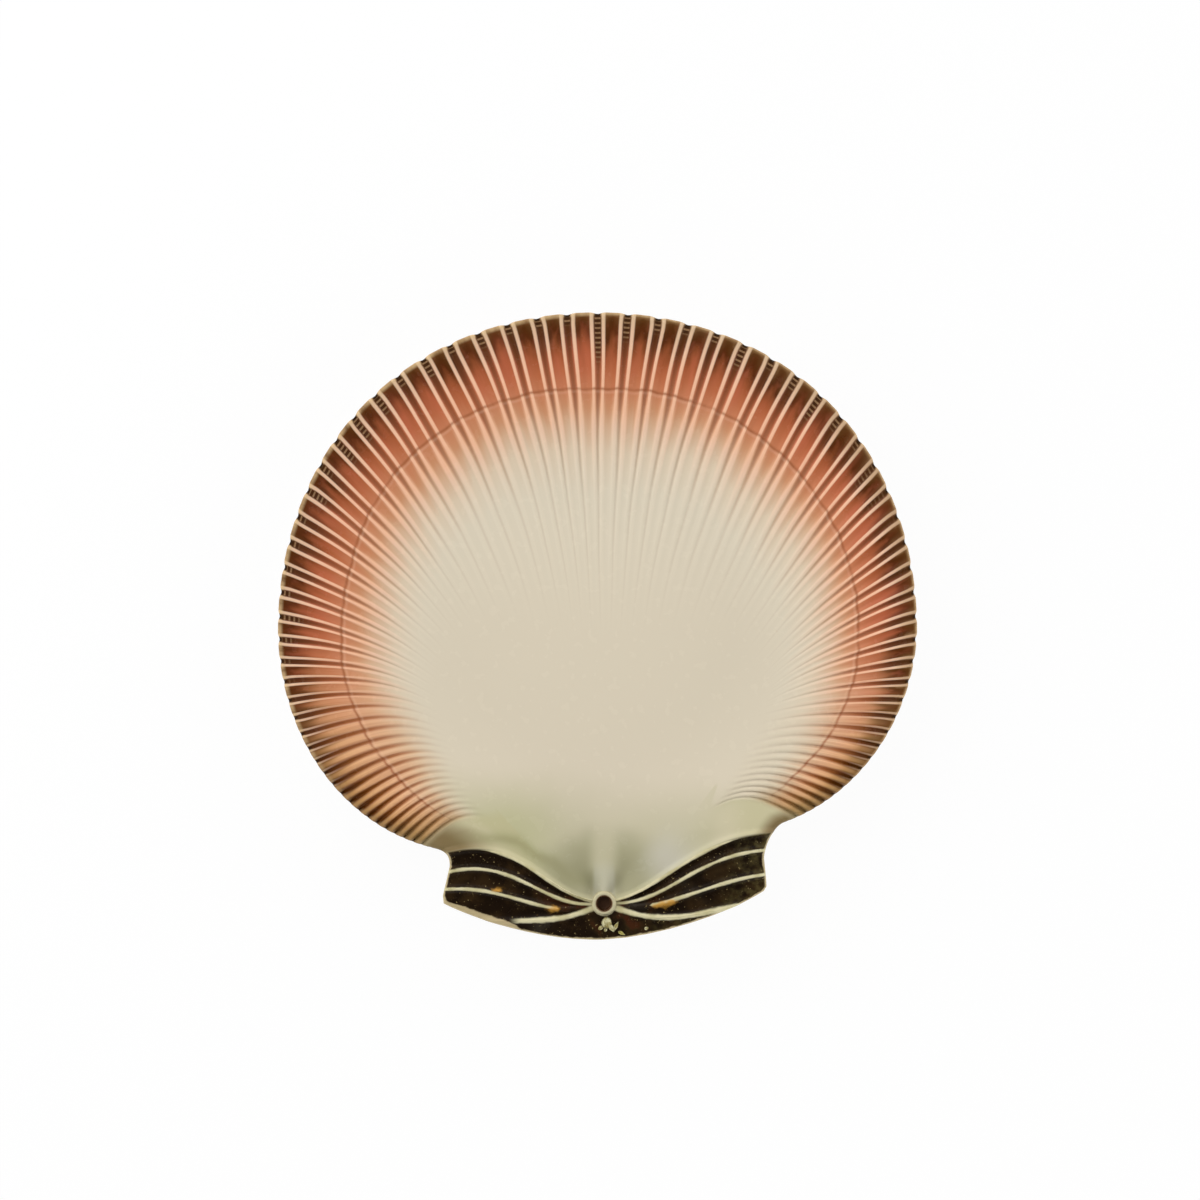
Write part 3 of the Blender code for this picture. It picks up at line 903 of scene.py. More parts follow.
    def marks(self, lines: Lines, spot: Array, depth: Array,
              below: Union[float, Array] = 0.0) -> dict[str, Array]:
        """A section of the body: its points in the plane and the values of its layers.

        Args:
            lines: The lines of the section.
            spot: Its points in the plane.
            depth: Depth of each in from the outline.
            below: Way in on the underside, in mm.

        Returns:
            The section, still without its heights.
        """
        form = self.form
        rib = form.carried(lines, depth)
        _, painted, edge = form.off_ridges(spot)
        return {
            "spot": spot,
            Layer.RIB.value: rib,
            Layer.DEPTH.value: depth / MM,
            Layer.REACH.value: depth / lines.growth,
            Layer.PAST.value: (depth - lines.growth) / MM,
            Layer.LEFT.value: np.where(lines.fan > 0, form.ribs_left(rib), -1.0),
            Layer.FADED.value: depth / lines.fade,
            Layer.DARK.value: lines.dark,
            Layer.RIDGE.value: painted,
            Layer.EDGE.value: edge / MM,
            Layer.RING.value: np.linalg.norm(spot - form.hinge, axis=-1) / MM,
            Layer.AMBER.value: form.ambers(spot),
            Layer.BELOW.value: np.asarray(below),
            Layer.SEAM.value: np.zeros(len(lines)),
        }

    def edge_section(self, lines: Lines, inset: float, drop: float) -> dict[str, Array]:
        """A section of the rounded edge, notched at the narrow channels.

        Args:
            lines: The lines of the section.
            inset: Way in from the outline.
            drop: Way down, as a share of the wall.

        Returns:
            The section.
        """
        form = self.form
        flank = smooth_step((np.abs(lines.rib) - form.flank_from) / form.notch_loss_over)
        notch = form.rim_notch * (1 - form.notch_loss * flank) * lines.fan
        notch = notch * np.cos(math.pi * lines.rib) ** 8
        ends, rim = lines.path[:, 0], np.zeros(len(lines))
        spot = ends + lines.normals() * (inset + notch)[:, None]
        top = form.dish(ends) + form.relief(lines, rim) * (1 - drop)
        return {"height": top - drop * form.wall, **self.marks(lines, spot, rim, inset / MM)}

    def inside_section(self, lines: Lines, depth: Array) -> dict[str, Array]:
        """A section of the plate's inside at a depth of each line.

        Args:
            lines: The lines of the section.
            depth: One depth per line.

        Returns:
            The section.
        """
        spot = lines.at(depth)
        height = self.form.dish(spot) + self.form.relief(lines, depth)
        return {"height": height, **self.marks(lines, spot, depth)}

    def face(self, lines: Lines) -> bpy.types.Object:
        """The edge and the ribbed inside, to where the ribs have faded.

        Args:
            lines: The lines that its columns follow.

        Returns:
            The strip.
        """
        half = self.form.growth_width / 2
        lip = np.minimum(self.edge_round, self.edge_most * lines.growth)
        rows = self.under_edge(lines)[::-1]
        top = self.inside_section(lines, lip)
        low = rows[-1]
        for turn in np.linspace(0, math.pi / 2, self.edge_rows + 1)[1:-1]:
            inward, upward = 1 - math.cos(turn), math.sin(turn)
            spot = low["spot"] + (top["spot"] - low["spot"]) * inward
            rows.append({"height": low["height"] + (top["height"] - low["height"]) * upward,
                         **self.marks(lines, spot, lip * inward)})
        rows.append(top)
        first = lines.growth - half
        for share in np.linspace(0, 1, self.rim_rows + 1)[1:-1]:
            rows.append(self.inside_section(lines, lip + (first - lip) * share))
        for off in self.growth_offsets:
            rows.append(self.inside_section(lines, lines.growth + off * half))
        begin = lines.growth + half
        for share in np.linspace(0, 1, self.fade_rows + 1)[1:] ** self.fade_crowding:
            rows.append(self.inside_section(lines, begin + (lines.fade - begin) * share))
        rows[-1][Layer.SEAM.value] += Border.WELL.value
        return self.sheet("face", lines, rows, halved=True)

    def under_edge(self, lines: Lines) -> list[dict[str, Array]]:
        """The rounding of the edge below the outline, from the outline down and in.

        Args:
            lines: The lines that its columns follow.

        Returns:
            Its sections.
        """
        rows = []
        for turn in np.linspace(0, math.pi / 2, self.edge_rows + 1):
            inset = self.edge_under * (1 - math.cos(turn))
            drop = self.edge_middle + (1 - self.edge_middle) * math.sin(turn)
            rows.append(self.edge_section(lines, inset, drop))
        rows[-1][Layer.SEAM.value] += Border.EDGE.value
        return rows

    def well(self, lines: Lines) -> bpy.types.Object:
        """The smooth well, the ring's bead and its blind hole.

        Args:
            lines: The lines that its columns follow.

        Returns:
            The strip.
        """
        form = self.form
        rest = lines.length - lines.fade
        rows = [self.inside_section(lines, lines.fade + rest * share)
                for share in self.well_shares]
        rows[0][Layer.SEAM.value] += Border.WELL.value
        base = float(form.dish(np.array(form.hinge)))
        middle = (form.ring_radius + form.ring_hole) / 2
        half = (form.ring_radius - form.ring_hole) / 2
        profile = [(middle + half * math.cos(a),
                    math.sin(a) ** self.bead_fullness * form.ring_height)
                   for a in np.linspace(0, math.pi, self.bead_rows + 1)[1:]]
        profile += [(form.ring_hole * share, -drop * form.hole_depth)
                    for share, drop in self.hole_profile]
        for radius, height in profile:
            spot = np.array(form.hinge) + radius * heading(lines.turn)
            rows.append({"height": np.full(len(lines), base + height),
                         **self.marks(lines, spot, lines.length)})
        rows[-1][Layer.SEAM.value] += Border.HOLE.value
        return self.sheet("well", lines, rows)

    def back(self, lines: Lines, edge: dict[str, Array]) -> bpy.types.Object:
        """The underside, from the edge's last section round the foot to the floor inside it.

        Args:
            lines: The lines that it follows.
            edge: The section that it begins with.

        Returns:
            The underside.
        """
        form = self.form
        none = np.zeros(len(lines))
        rows = [edge]
        ends, centre = lines.path[:, 0], np.array(self.foot_centre)
        reach = np.linalg.norm(ends - centre, axis=1)
        spokes = (ends - centre) / reach[:, None]
        outer = self.foot_radius + self.foot_fillet
        for share in np.linspace(self.under_from, 1, self.under_rows):
            radius = reach + (outer - reach) * share
            spot = centre + spokes * radius[:, None]
            rows.append({"height": form.dish(spot) - form.wall,
                         **self.marks(lines, spot, none, below=(reach - radius) / MM)})
        for radius, height in self.foot_profile():
            spot = centre + spokes * radius
            rows.append({"height": none + height,
                         **self.marks(lines, spot, none, below=(reach - radius) / MM)})
        rows[-1][Layer.SEAM.value] += Border.FLOOR.value
        return self.sheet("back", lines, rows)

    def foot_profile(self) -> list[Point2]:
        """Radii and heights round the foot and over the floor inside it.

        Returns:
            Pairs of radius and height, from the outside in.
        """
        outer, inner = self.foot_radius, self.foot_radius - self.foot_width
        height = self.form.foot_height
        profile = [(outer + 0.5 * MM, 2.4 * MM), (outer + 0.1 * MM, 1.5 * MM),
                   (outer, 0.7 * MM), (outer - 0.15 * MM, 0.2 * MM), (outer - 0.6 * MM, 0.0),
                   (inner + 0.6 * MM, 0.0), (inner + 0.15 * MM, 0.2 * MM), (inner, 0.7 * MM),
                   (inner - 0.2 * MM, 2.2 * MM), (inner - 0.6 * MM, 2.8 * MM),
                   (inner - 1.4 * MM, height)]
        return profile + [(inner * share, height) for share in (.8, .55, .3, .1)]


@dataclass(frozen=True)
class Leaf:
    """One moulded drop of the tail's leaf cluster."""

    place: Point2
    length: float
    width: float
    height: float
    turn: float                  # direction of its tip, degrees from +Y to the right
    taper: float                 # width of its tip against its middle


@dataclass(frozen=True)
class TailLeaves:
    """The bud, leaves and bead moulded on the tail below the ring."""

    form: ShellForm = ShellForm()
    bud: Leaf = Leaf((3.2 * MM, -103.1 * MM), 4.7 * MM, 4.1 * MM, 1.2 * MM, 8, 0.85)
    leaves: tuple[Leaf, ...] = (
        Leaf((1.1 * MM, -104.9 * MM), 2.2 * MM, 1.7 * MM, 0.7 * MM, -125, 0.7),
        Leaf((2.8 * MM, -105.6 * MM), 1.6 * MM, 1.3 * MM, 0.4 * MM, -160, 0.8),
        Leaf((4.9 * MM, -104.9 * MM), 3.8 * MM, 2.0 * MM, 0.9 * MM, 148, 0.6),
        Leaf((6.4 * MM, -104.3 * MM), 4.2 * MM, 1.6 * MM, 0.7 * MM, 27, 0.45),
        Leaf((8.4 * MM, -106.7 * MM), 3.2 * MM, 1.4 * MM, 0.35 * MM, 116, 0.4),
        Leaf((17.0 * MM, -105.0 * MM), 1.8 * MM, 1.4 * MM, 0.3 * MM, 70, 0.7),
    )
    dimple: float = 0.45 * MM            # groove in the bud
    dimple_share: float = 0.3            # its width, as a share of the bud's
    vein: float = 0.22 * MM              # groove in a leaf
    vein_share: float = 0.2
    crest_share: float = 0.55            # share of a boss's height that a groove takes in
    taper_levels: Knots = (0.1, 0.25, 0.38)      # where a boss narrows towards its tip
    segments: int = 20
    rings: int = 14
    smooth_up_to: float = 60 * DEG

    def build(self) -> bpy.types.Object:
        """Models the cluster and returns it.

        Returns:
            The cluster.
        """
        bud = self.drop("bud", self.bud)
        self.press(bud, self.bud, self.dimple, self.dimple_share)
        pieces = [bud]
        for number, leaf in enumerate(self.leaves):
            piece = self.drop(f"leaf_{number}", leaf)
            self.press(piece, leaf, self.vein, self.vein_share)
            pieces.append(piece)
        select_only(*pieces)
        bpy.ops.object.join()
        cluster = bpy.context.object
        cluster.name = cluster.data.name = "tail_leaves"
        finish_shell(cluster, self.smooth_up_to)
        return cluster

    def drop(self, name: str, leaf: Leaf) -> bpy.types.Object:
        """A drop-shaped boss half sunk in the glaze, from a sphere tapered to its tip.

        Args:
            name: Its name.
            leaf: Its place and sizes.

        Returns:
            The boss.
        """
        base = float(self.form.dish(np.array(leaf.place)))
        select_only()
        bpy.ops.mesh.primitive_uv_sphere_add(segments=self.segments, ring_count=self.rings,
                                             radius=0.5)
        piece = bpy.context.object
        piece.name = name
        spots = np.array([v.co for v in piece.data.vertices])
        share = leaf.taper ** (1 / len(self.taper_levels))
        for level in self.taper_levels:
            select_vertices(piece, spots[:, 1] > level)
            bpy.ops.transform.resize(value=(share, 1, share), center_override=(0, 0, 0))
            bpy.ops.object.mode_set(mode="OBJECT")
        piece.data.attributes.new(Layer.CREST.value, "FLOAT", "POINT").data.foreach_set(
            "value", spots[:, 2] * 2)
        select_vertices(piece, np.ones(len(spots), bool))
        bpy.ops.transform.resize(value=(leaf.width, leaf.length, leaf.height * 2),
                                 center_override=(0, 0, 0))
        bpy.ops.object.mode_set(mode="OBJECT")
        piece.rotation_euler = (0, 0, -leaf.turn * DEG)
        piece.location = (*leaf.place, base)
        select_only(piece)
        bpy.ops.object.transform_apply(location=True, rotation=True, scale=True)
        return piece

    def press(self, piece: bpy.types.Object, leaf: Leaf, depth: float, share: float) -> None:
        """Presses a groove along the crest of a boss.

        Args:
            piece: The boss.
            leaf: Its place and sizes.
            depth: How deep the groove is.
            share: Half width of the groove against the boss's.
        """
        spots = np.array([v.co for v in piece.data.vertices])
        off = spots[:, :2] - leaf.place
        along = heading(np.array(leaf.turn * DEG))
        across = off @ np.array([along[1], -along[0]])
        top = spots[:, 2] > spots[:, 2].max() - leaf.height * self.crest_share
        select_vertices(piece, top & (np.abs(across) < leaf.width * share * 0.5))
        bpy.ops.transform.translate(value=(0, 0, -depth))
        bpy.ops.object.mode_set(mode="OBJECT")


# Modelling helpers
def select_only(*pieces: bpy.types.Object) -> None:
    """Leaves object mode and selects just these pieces, the first of them active.

    Args:
        *pieces: Objects, or none.
    """
    if bpy.context.object and bpy.context.object.mode != "OBJECT":
        bpy.ops.object.mode_set(mode="OBJECT")
    bpy.ops.object.select_all(action="DESELECT")
    for piece in pieces:
        piece.select_set(True)
    if pieces:
        bpy.context.view_layer.objects.active = pieces[0]


def select_vertices(piece: bpy.types.Object, chosen: Array) -> None:
    """Selects vertices of a piece and goes into edit mode on it.

    Args:
        piece: A mesh object.
        chosen: True or False for each of its vertices.
    """
    select_only(piece)
    mesh = piece.data
    mesh.vertices.foreach_set("select", chosen)
    mesh.edges.foreach_set("select", np.zeros(len(mesh.edges), bool))
    mesh.polygons.foreach_set("select", np.zeros(len(mesh.polygons), bool))
    bpy.ops.object.mode_set(mode="EDIT")
    bpy.ops.mesh.select_mode(type="VERT")


def select_border(piece: bpy.types.Object, border: Border) -> None:
    """Selects the loops of a piece that lie on one border, in edit mode.

    Args:
        piece: A mesh object with the seam layer.
        border: The border.
    """
    seam = np.zeros(len(piece.data.vertices), np.float32)
    piece.data.attributes[Layer.SEAM.value].data.foreach_get("value", seam)
    select_vertices(piece, np.abs(seam - border.value) < 0.5)


def finish_shell(piece: bpy.types.Object, smooth_up_to: float) -> None:
    """Turns a closed piece's faces outwards and smooths it up to an angle.

    Args:
        piece: A mesh object.
        smooth_up_to: The angle in radians.
    """
    select_vertices(piece, np.ones(len(piece.data.vertices), bool))
    bpy.ops.mesh.normals_make_consistent(inside=False)
    bpy.ops.object.mode_set(mode="OBJECT")
    select_only(piece)
    bpy.ops.object.shade_smooth_by_angle(angle=smooth_up_to)


def centre_on(piece: bpy.types.Object, box: tuple[Any, Any]) -> None:
    """Moves a piece's mesh so that its box is centred on another box, seen from above.

    Args:
        piece: A mesh object.
        box: Lowest and highest corner of the other box.
    """
    spots = np.array([v.co for v in piece.data.vertices])
    own = (spots.min(axis=0) + spots.max(axis=0)) / 2
    want = (np.array(box[0]) + np.array(box[1])) / 2
    shift = (want - own) * (1, 1, 0)
    piece.data.vertices.foreach_set("co", (spots + shift).ravel())
    piece.data.update()


# Shaders
class Field:
    """A number that varies over a surface; sums on it add Math nodes."""

    def __init__(self, shader: "Shader", socket: bpy.types.NodeSocket) -> None:
        """Wraps a socket of a shader."""
        self.shader, self.socket = shader, socket

    def __add__(self, other: "Number") -> "Field":
        """Sum."""
        return self.shader.maths("ADD", self, other)

    __radd__ = __add__

    def __sub__(self, other: "Number") -> "Field":
        """Difference."""
        return self.shader.maths("SUBTRACT", self, other)

    def __rsub__(self, other: float) -> "Field":
        """Difference from a number."""
        return self.shader.maths("SUBTRACT", other, self)

    def __mul__(self, other: "Number") -> "Field":
        """Product."""
        return self.shader.maths("MULTIPLY", self, other)

    __rmul__ = __mul__

    def __truediv__(self, other: "Number") -> "Field":
        """Quotient."""
        return self.shader.maths("DIVIDE", self, other)

    def __rtruediv__(self, other: float) -> "Field":
        """Quotient of a number by this."""
        return self.shader.maths("DIVIDE", other, self)

    def __abs__(self) -> "Field":
        """Size without sign."""
        return self.shader.maths("ABSOLUTE", self)

    def round(self) -> "Field":
        """Nearest whole number."""
        return self.shader.maths("ROUND", self)

    def wave(self) -> "Field":
        """Sine, in radians."""
        return self.shader.maths("SINE", self)

    def rise(self, start: float, stop: float) -> "Field":
        """Smooth rise from 0 at one value to 1 at another, or a fall where stop is less.

        Args:
            start: Value at which it is 0.
            stop: Value at which it is 1.

        Returns:
            The risen field.
        """
        if start > stop:
            return 1 - self.rise(stop, start)
        settings = {"interpolation_type": "SMOOTHSTEP"}
        sockets = {"Value": self, "From Min": start, "From Max": stop}
        return self.shader.node("ShaderNodeMapRange", settings, sockets)

    def bell(self, centre: float, width: float) -> "Field":
        """A soft peak of height 1.

        Args:
            centre: Value at the peak.
            width: Distance at which it has fallen to about a third.

        Returns:
            The peak.
        """
        off = (self - centre) / width
        return self.shader.maths("EXPONENT", off * off * -1.0)


Number = Union[Field, float]


class Shader:
    """The node tree of a material or a world, built from a blank one."""

    def __init__(self, owner: Union[bpy.types.Material, bpy.types.World]) -> None:
        """Clears the owner's tree.

        Args:
            owner: The material or world.
        """
        owner.use_nodes = True
        self.owner, self.tree = owner, owner.node_tree
        self.tree.nodes.clear()

    def node(self, kind: str, settings: Mapping[str, Any] | None = None,
             sockets: Mapping[Any, Any] | None = None, output: Any = 0) -> Field:
        """Adds a node.

        Args:
            kind: Its type.
            settings: Its properties; "stops" are the places and colours of a ramp.
            sockets: Values or fields for its inputs, by name or index.
            output: Name or index of the output to return.

        Returns:
            The output.
        """
        made = self.tree.nodes.new(kind)
        for key, value in (settings or {}).items():
            if key == "stops":
                self.set_stops(made.color_ramp, value)
            else:
                setattr(made, key, value)
        for key, value in (sockets or {}).items():
            if isinstance(value, Field):
                self.tree.links.new(value.socket, made.inputs[key])
            else:
                made.inputs[key].default_value = value
        return Field(self, made.outputs[output]) if made.outputs else Field(self, None)

    @staticmethod
    def set_stops(ramp: bpy.types.ColorRamp, stops: Sequence[tuple[float, Colour]]) -> None:
        """Gives a ramp its places and colours, in order.

        Args:
            ramp: The ramp.
            stops: Its places from 0 to 1 and their display colours.
        """
        while len(ramp.elements) < len(stops):
            ramp.elements.new(1.0)
        for element, (place, colour) in zip(ramp.elements, stops):
            element.position = place
            element.color = display(*colour)

    def maths(self, operation: str, *values: Number) -> Field:
        """Adds a Math node on one to three values."""
        return self.node("ShaderNodeMath", {"operation": operation}, dict(enumerate(values)))

    def layer(self, layer: Layer) -> Field:
        """Reads a number stored at the vertices."""
        settings = {"attribute_type": "GEOMETRY", "attribute_name": layer.value}
        return self.node("ShaderNodeAttribute", settings, output="Fac")

    def place(self) -> tuple[Field, Field, Field]:
        """Object coordinates, in metres."""
        return self.parts(self.spot())

    def spot(self) -> Field:
        """Object coordinates as one vector."""
        return self.node("ShaderNodeTexCoord", output="Object")

    def parts(self, vector: Field) -> tuple[Field, Field, Field]:
        """The three numbers of a vector."""
        return tuple(self.node("ShaderNodeSeparateXYZ", None, {0: vector}, k) for k in range(3))

    def vector(self, x: Number, y: Number, z: Number = 0.0) -> Field:
        """Joins three numbers to a vector."""
        return self.node("ShaderNodeCombineXYZ", None, {0: x, 1: y, 2: z})

    def noise(self, spot: Field, scale: float, detail: float = 3.0,
              roughness: float = 0.5) -> Field:
        """Cloudy noise about 0.5."""
        sockets = {"Vector": spot, "Scale": scale, "Detail": detail, "Roughness": roughness}
        return self.node("ShaderNodeTexNoise", None, sockets, "Fac")

    def ramp(self, place: Field, span: float, stops: Sequence[tuple[float, Colour]]) -> Field:
        """Colours along a field.

        Args:
            place: The field.
            span: Its value at the ramp's end.
            stops: Values of the field and their display colours.

        Returns:
            The colour.
        """
        settings = {"stops": [(at / span, colour) for at, colour in stops]}
        return self.node("ShaderNodeValToRGB", settings, {0: place / span})

    def blend(self, share: Number, under: Any, over: Any) -> Field:
        """Mixes two colours.

        Args:
            share: How much of the second shows.
            under: A colour or a display triple.
            over: The same.

        Returns:
            The colour.
        """
        sockets = {0: share}
        for index, colour in ((6, under), (7, over)):
            sockets[index] = colour if isinstance(colour, Field) else display(*colour)
        settings = {"data_type": "RGBA", "clamp_factor": True}
        return self.node("ShaderNodeMix", settings, sockets, 2)

    def bump(self, height: Field, distance: float) -> Field:
        """Surface normal of a height field whose 1 stands for a distance in metres."""
        sockets = {"Strength": 1.0, "Distance": distance, "Height": height}
        return self.node("ShaderNodeBump", None, sockets, "Normal")

    def surface(self, **sockets: Any) -> Any:
        """Ends the tree in a glossy surface with these sockets, underscores for spaces.

        Args:
            **sockets: Values or fields.

        Returns:
            The owner of the tree.
        """
        named = {key.replace("_", " "): value for key, value in sockets.items()}
        body = self.node("ShaderNodeBsdfPrincipled", None, named)
        self.node("ShaderNodeOutputMaterial", None, {0: body})
        return self.owner


@dataclass(frozen=True)
class ShellGlaze:
    """The airbrushed glaze: brown rim, salmon band, cream well and near-black ears.

    The stops give display colours against the share of the way from the rim to the growth line.
    """

    name: str = "shell_glaze"
    hinge_x: float = 2.3 * MM
    span: float = 2.5            # share at which the stops below end
    flute: Stops = (
        (0, (160, 126, 90)), (.03, (128, 94, 58)), (.07, (92, 56, 24)), (.15, (84, 44, 12)),
        (.24, (88, 42, 14)), (.38, (128, 68, 36)), (.56, (164, 88, 54)), (.77, (184, 106, 70)),
        (.96, (198, 127, 90)), (1.15, (203, 145, 107)), (1.38, (212, 173, 141)),
        (1.75, (219, 200, 174)), (2.3, (219, 208, 186)),
    )
    channel: Stops = (
        (0, (96, 68, 42)), (.05, (78, 46, 18)), (.13, (88, 50, 20)), (.25, (96, 52, 24)),
        (.4, (114, 62, 34)), (.58, (140, 76, 46)), (.78, (160, 92, 60)), (.96, (168, 106, 74)),
        (1.15, (180, 126, 94)), (1.38, (194, 152, 122)), (1.75, (204, 180, 154)),
        (2.3, (213, 200, 178)),
    )
    ridge: Stops = (
        (0, (214, 186, 152)), (.08, (214, 182, 148)), (.16, (218, 182, 150)),
        (.28, (224, 184, 154)), (.4, (232, 189, 158)), (.56, (239, 190, 157)),
        (.88, (240, 186, 152)), (1.2, (238, 188, 154)), (1.44, (233, 197, 169)),
        (1.68, (230, 206, 180)), (2.0, (226, 211, 188)), (2.4, (222, 211, 189)),
    )
    groove: Stops = (
        (0, (104, 74, 36)), (.05, (80, 46, 10)), (.12, (72, 36, 2)), (.22, (88, 44, 4)),
        (.36, (114, 62, 18)), (.52, (132, 76, 30)), (.73, (148, 88, 46)), (.93, (164, 102, 62)),
        (1.14, (181, 126, 90)), (1.35, (193, 150, 117)), (1.55, (202, 172, 143)),
        (1.87, (206, 186, 160)), (2.2, (212, 199, 176)),
    )
    broad: Stops = (
        (0, (150, 118, 74)), (.05, (150, 114, 70)), (.12, (164, 126, 80)), (.22, (178, 134, 84)),
        (.36, (203, 154, 106)), (.52, (216, 166, 120)), (.73, (222, 171, 127)),
        (.93, (225, 176, 136)), (1.14, (224, 181, 143)), (1.35, (221, 188, 153)),
        (1.55, (220, 196, 166)), (1.87, (218, 202, 176)), (2.2, (217, 205, 181)),
    )
    # Single colours
    tongue: Colour = (138, 74, 50)          # darker strokes in the flutes
    mottle: Colour = (192, 101, 72)         # red clouds in the flutes
    dull_crest: Colour = (168, 130, 94)     # ridges beside the rim on the right
    strand: Colour = (168, 108, 72)         # brown strokes on the flanks
    tan: Colour = (146, 124, 78)            # last ribs before the necks
    lip: Colour = (204, 174, 128)           # worn line along the rim
    cream: Colour = (217, 206, 184)         # pale line along the rim
    gap: Colour = (58, 34, 14)              # channels beside the rim
    rung: Colour = (178, 138, 98)           # marks across them
    notch: Colour = (44, 28, 12)            # their ends at the rim
    growth: Colour = (158, 92, 58)          # the growth line
    bank: Colour = (240, 206, 174)          # painted highlight on the bank inside it
    celadon: Colour = (186, 181, 150)       # the well towards the hinge
    green: Colour = (180, 180, 134)         # the same on the left
    neck: Colour = (187, 181, 142)          # beyond the last ribs
    smudge_and_shade: Colour = (108, 84, 44)          # brown smudge and painted shadow in the corner of a neck
    fold_shade: Colour = (146, 143, 102)        # painted shade behind the ears' fold
    basin: Colour = (144, 141, 108)         # round the umbo
    pool: Colour = (130, 127, 98)           # beside the umbo
    sheen: Colour = (192, 188, 174)         # painted sheen, a reflection right of the umbo
    umbo: Colour = (186, 184, 166)
    fold: Colour = (196, 190, 154)          # along the ears' first ridge
    bead: Colour = (190, 182, 148)          # the ring
    hole: Colour = (92, 64, 44)             # its hole
    black: Colour = (27, 17, 8)             # the ears' bands
    umber: Colour = (46, 32, 15)            # clouds in them
    moss: Colour = (92, 82, 46)             # the outer part of the right ear
    rust: Colour = (72, 30, 14)             # the bands beside the ring
    speck: Colour = (150, 132, 88)
    ear_lip: Colour = (196, 178, 136)       # worn line along the ears' outline
    ear_ridge: Colour = (208, 200, 162)
    ear_ridge_dull: Colour = (184, 176, 132)    # clouds in it
    amber: Colour = (204, 150, 60)
    back: Colour = (208, 197, 170)          # the underside
    back_pale: Colour = (220, 209, 184)     # clouds in it
    clay: Colour = (196, 172, 140)          # the bare foot

    def build(self) -> bpy.types.Material:
        """Builds the material.

        Returns:
            The material.
        """
        shader = Shader(bpy.data.materials.new(self.name))
        bare = self.bare_foot(shader)
        return shader.surface(
            Base_Color=self.colour(shader, bare), Roughness=self.roughness(shader, bare),
            Normal=self.normal(shader), Specular_IOR_Level=GLAZE_LEVEL,
        )

    def bare_foot(self, shader: Shader) -> Field:
        """1 where the foot ring stands, which is wiped clean of glaze."""
        _, _, z = shader.place()
        return z.rise(0.9 * MM, 0.5 * MM)

    def fan_colour(self, shader: Shader) -> Field:
        """Colour of the fan and its well.

        Args:
            shader: The material's node tree.

        Returns:
            The colour.
        """
        rib, depth = shader.layer(Layer.RIB), shader.layer(Layer.DEPTH)
        share, (x, _, _) = shader.layer(Layer.REACH), shader.place()
        off, wide = abs(rib - rib.round()), (abs(rib) + share.rise(0.0, .6) * 3.5).rise(20, 30)
        # Clouds that run along the ribs, and one tone for each flute
        streak = shader.noise(shader.vector(rib * 2.3, depth * 0.035), 1.0, 3.0) - 0.5
        patch = shader.noise(shader.vector((rib - 0.5).round() * 7.7, depth * 0.02), 1.0, 1.0) - 0.5
        # Place along the stops: the clouds move it, and so does the side of the plate
        reach = share + (streak * 0.34 + patch * 0.2) * share.rise(0.0, 0.35)
        reach = reach - share.rise(.75, 1.1) * 0.07 + x.rise(-.06, -.1) * share.bell(.1, .15) * 0.07
        reach = reach - x.rise(.01, .08) * share.bell(.36, .24) * share.rise(.05, .2) * 0.08
        reach = reach - x.rise(0.0, -.05) * share.rise(1.0, 1.3) * share.rise(2.4, 1.8) * 0.09
        # Channels and ridges, which widen and soften inside the growth line
        past = share.rise(0.95, 1.5)
        channel = off.rise(.115, .06) * (1 - past) + off.rise(.085, .02) * past
        ridge = (off.rise(.11, .165) * off.rise(.29, .235) * (1 - past)
                 + off.rise(.06, .14) * off.rise(.38, .26) * past)
        # Flutes between them, with strokes and clouds of the airbrush
        blotch = shader.noise(shader.vector(rib * 3.1, depth * 0.17), 1.0, 2.0) - 0.5
        tongue = (off.rise(.5, .28) - 0.5) * 0.15 - blotch * 0.3
        tongue = tongue * share.bell(.36, .28) * share.rise(.03, .12)
        flute = shader.ramp(reach - tongue, self.span, self.flute)
        flute = shader.blend(blotch.rise(.02, .2) * share.bell(.3, .22) * 0.4, flute, self.tongue)
        mottle = (patch * 3.0 + streak * 3.0).rise(-.2, .6) * share.bell(.62, .38)
        flute = shader.blend(mottle * 0.45, flute, self.mottle)
        top = shader.blend(channel, flute, shader.ramp(reach, self.span, self.channel))
        dull = x.rise(.05, .1) * share.rise(.4, .1) * 0.5
        crest = shader.blend(dull, shader.ramp(reach, self.span, self.ridge), self.dull_crest)
        top = shader.blend(ridge, top, crest)
        # Broad ribs and narrow grooves of the flanks
        last = shader.layer(Layer.LEFT)
        along = reach * (0.97 + x.rise(-.02, .02) * share.rise(.05, .6) * 0.38
                         + last.rise(12.0, 2.0) * share.rise(.6, 1.1) * 0.3)
        low = shader.blend((off + share.rise(.05, .9) * 0.1).rise(.16, .46),
                           shader.ramp(along, self.span, self.groove),
                           shader.ramp(along, self.span, self.broad))
        strands = shader.noise(shader.vector(rib * 5.3, depth * 0.03), 1.0, 2.0).rise(.45, .62)
        low = shader.blend(strands * share.bell(.8, .6) * 0.3, low, self.strand)
        tanned = last.rise(7.0, 0.0) * share.rise(1.8, .9)
        low = shader.blend(tanned * 0.6, low, self.tan)
        colour = self.rungs(shader, shader.blend(wide, top, low), off, depth)
        # Pale line along the rim
        left = x.rise(.03, -.03)
        edge = (depth / (1 + left * 1.3)).rise(0.9, 0.3) * streak.rise(-.25, .1) * (1 - wide * 0.8)
        edge = edge * off.rise(.08, .14) * (0.5 + left * 0.15)
        colour = shader.blend(edge, colour, self.lip)
        return shader.blend(shader.layer(Layer.FADED).rise(.55, .95), colour, self.cream)

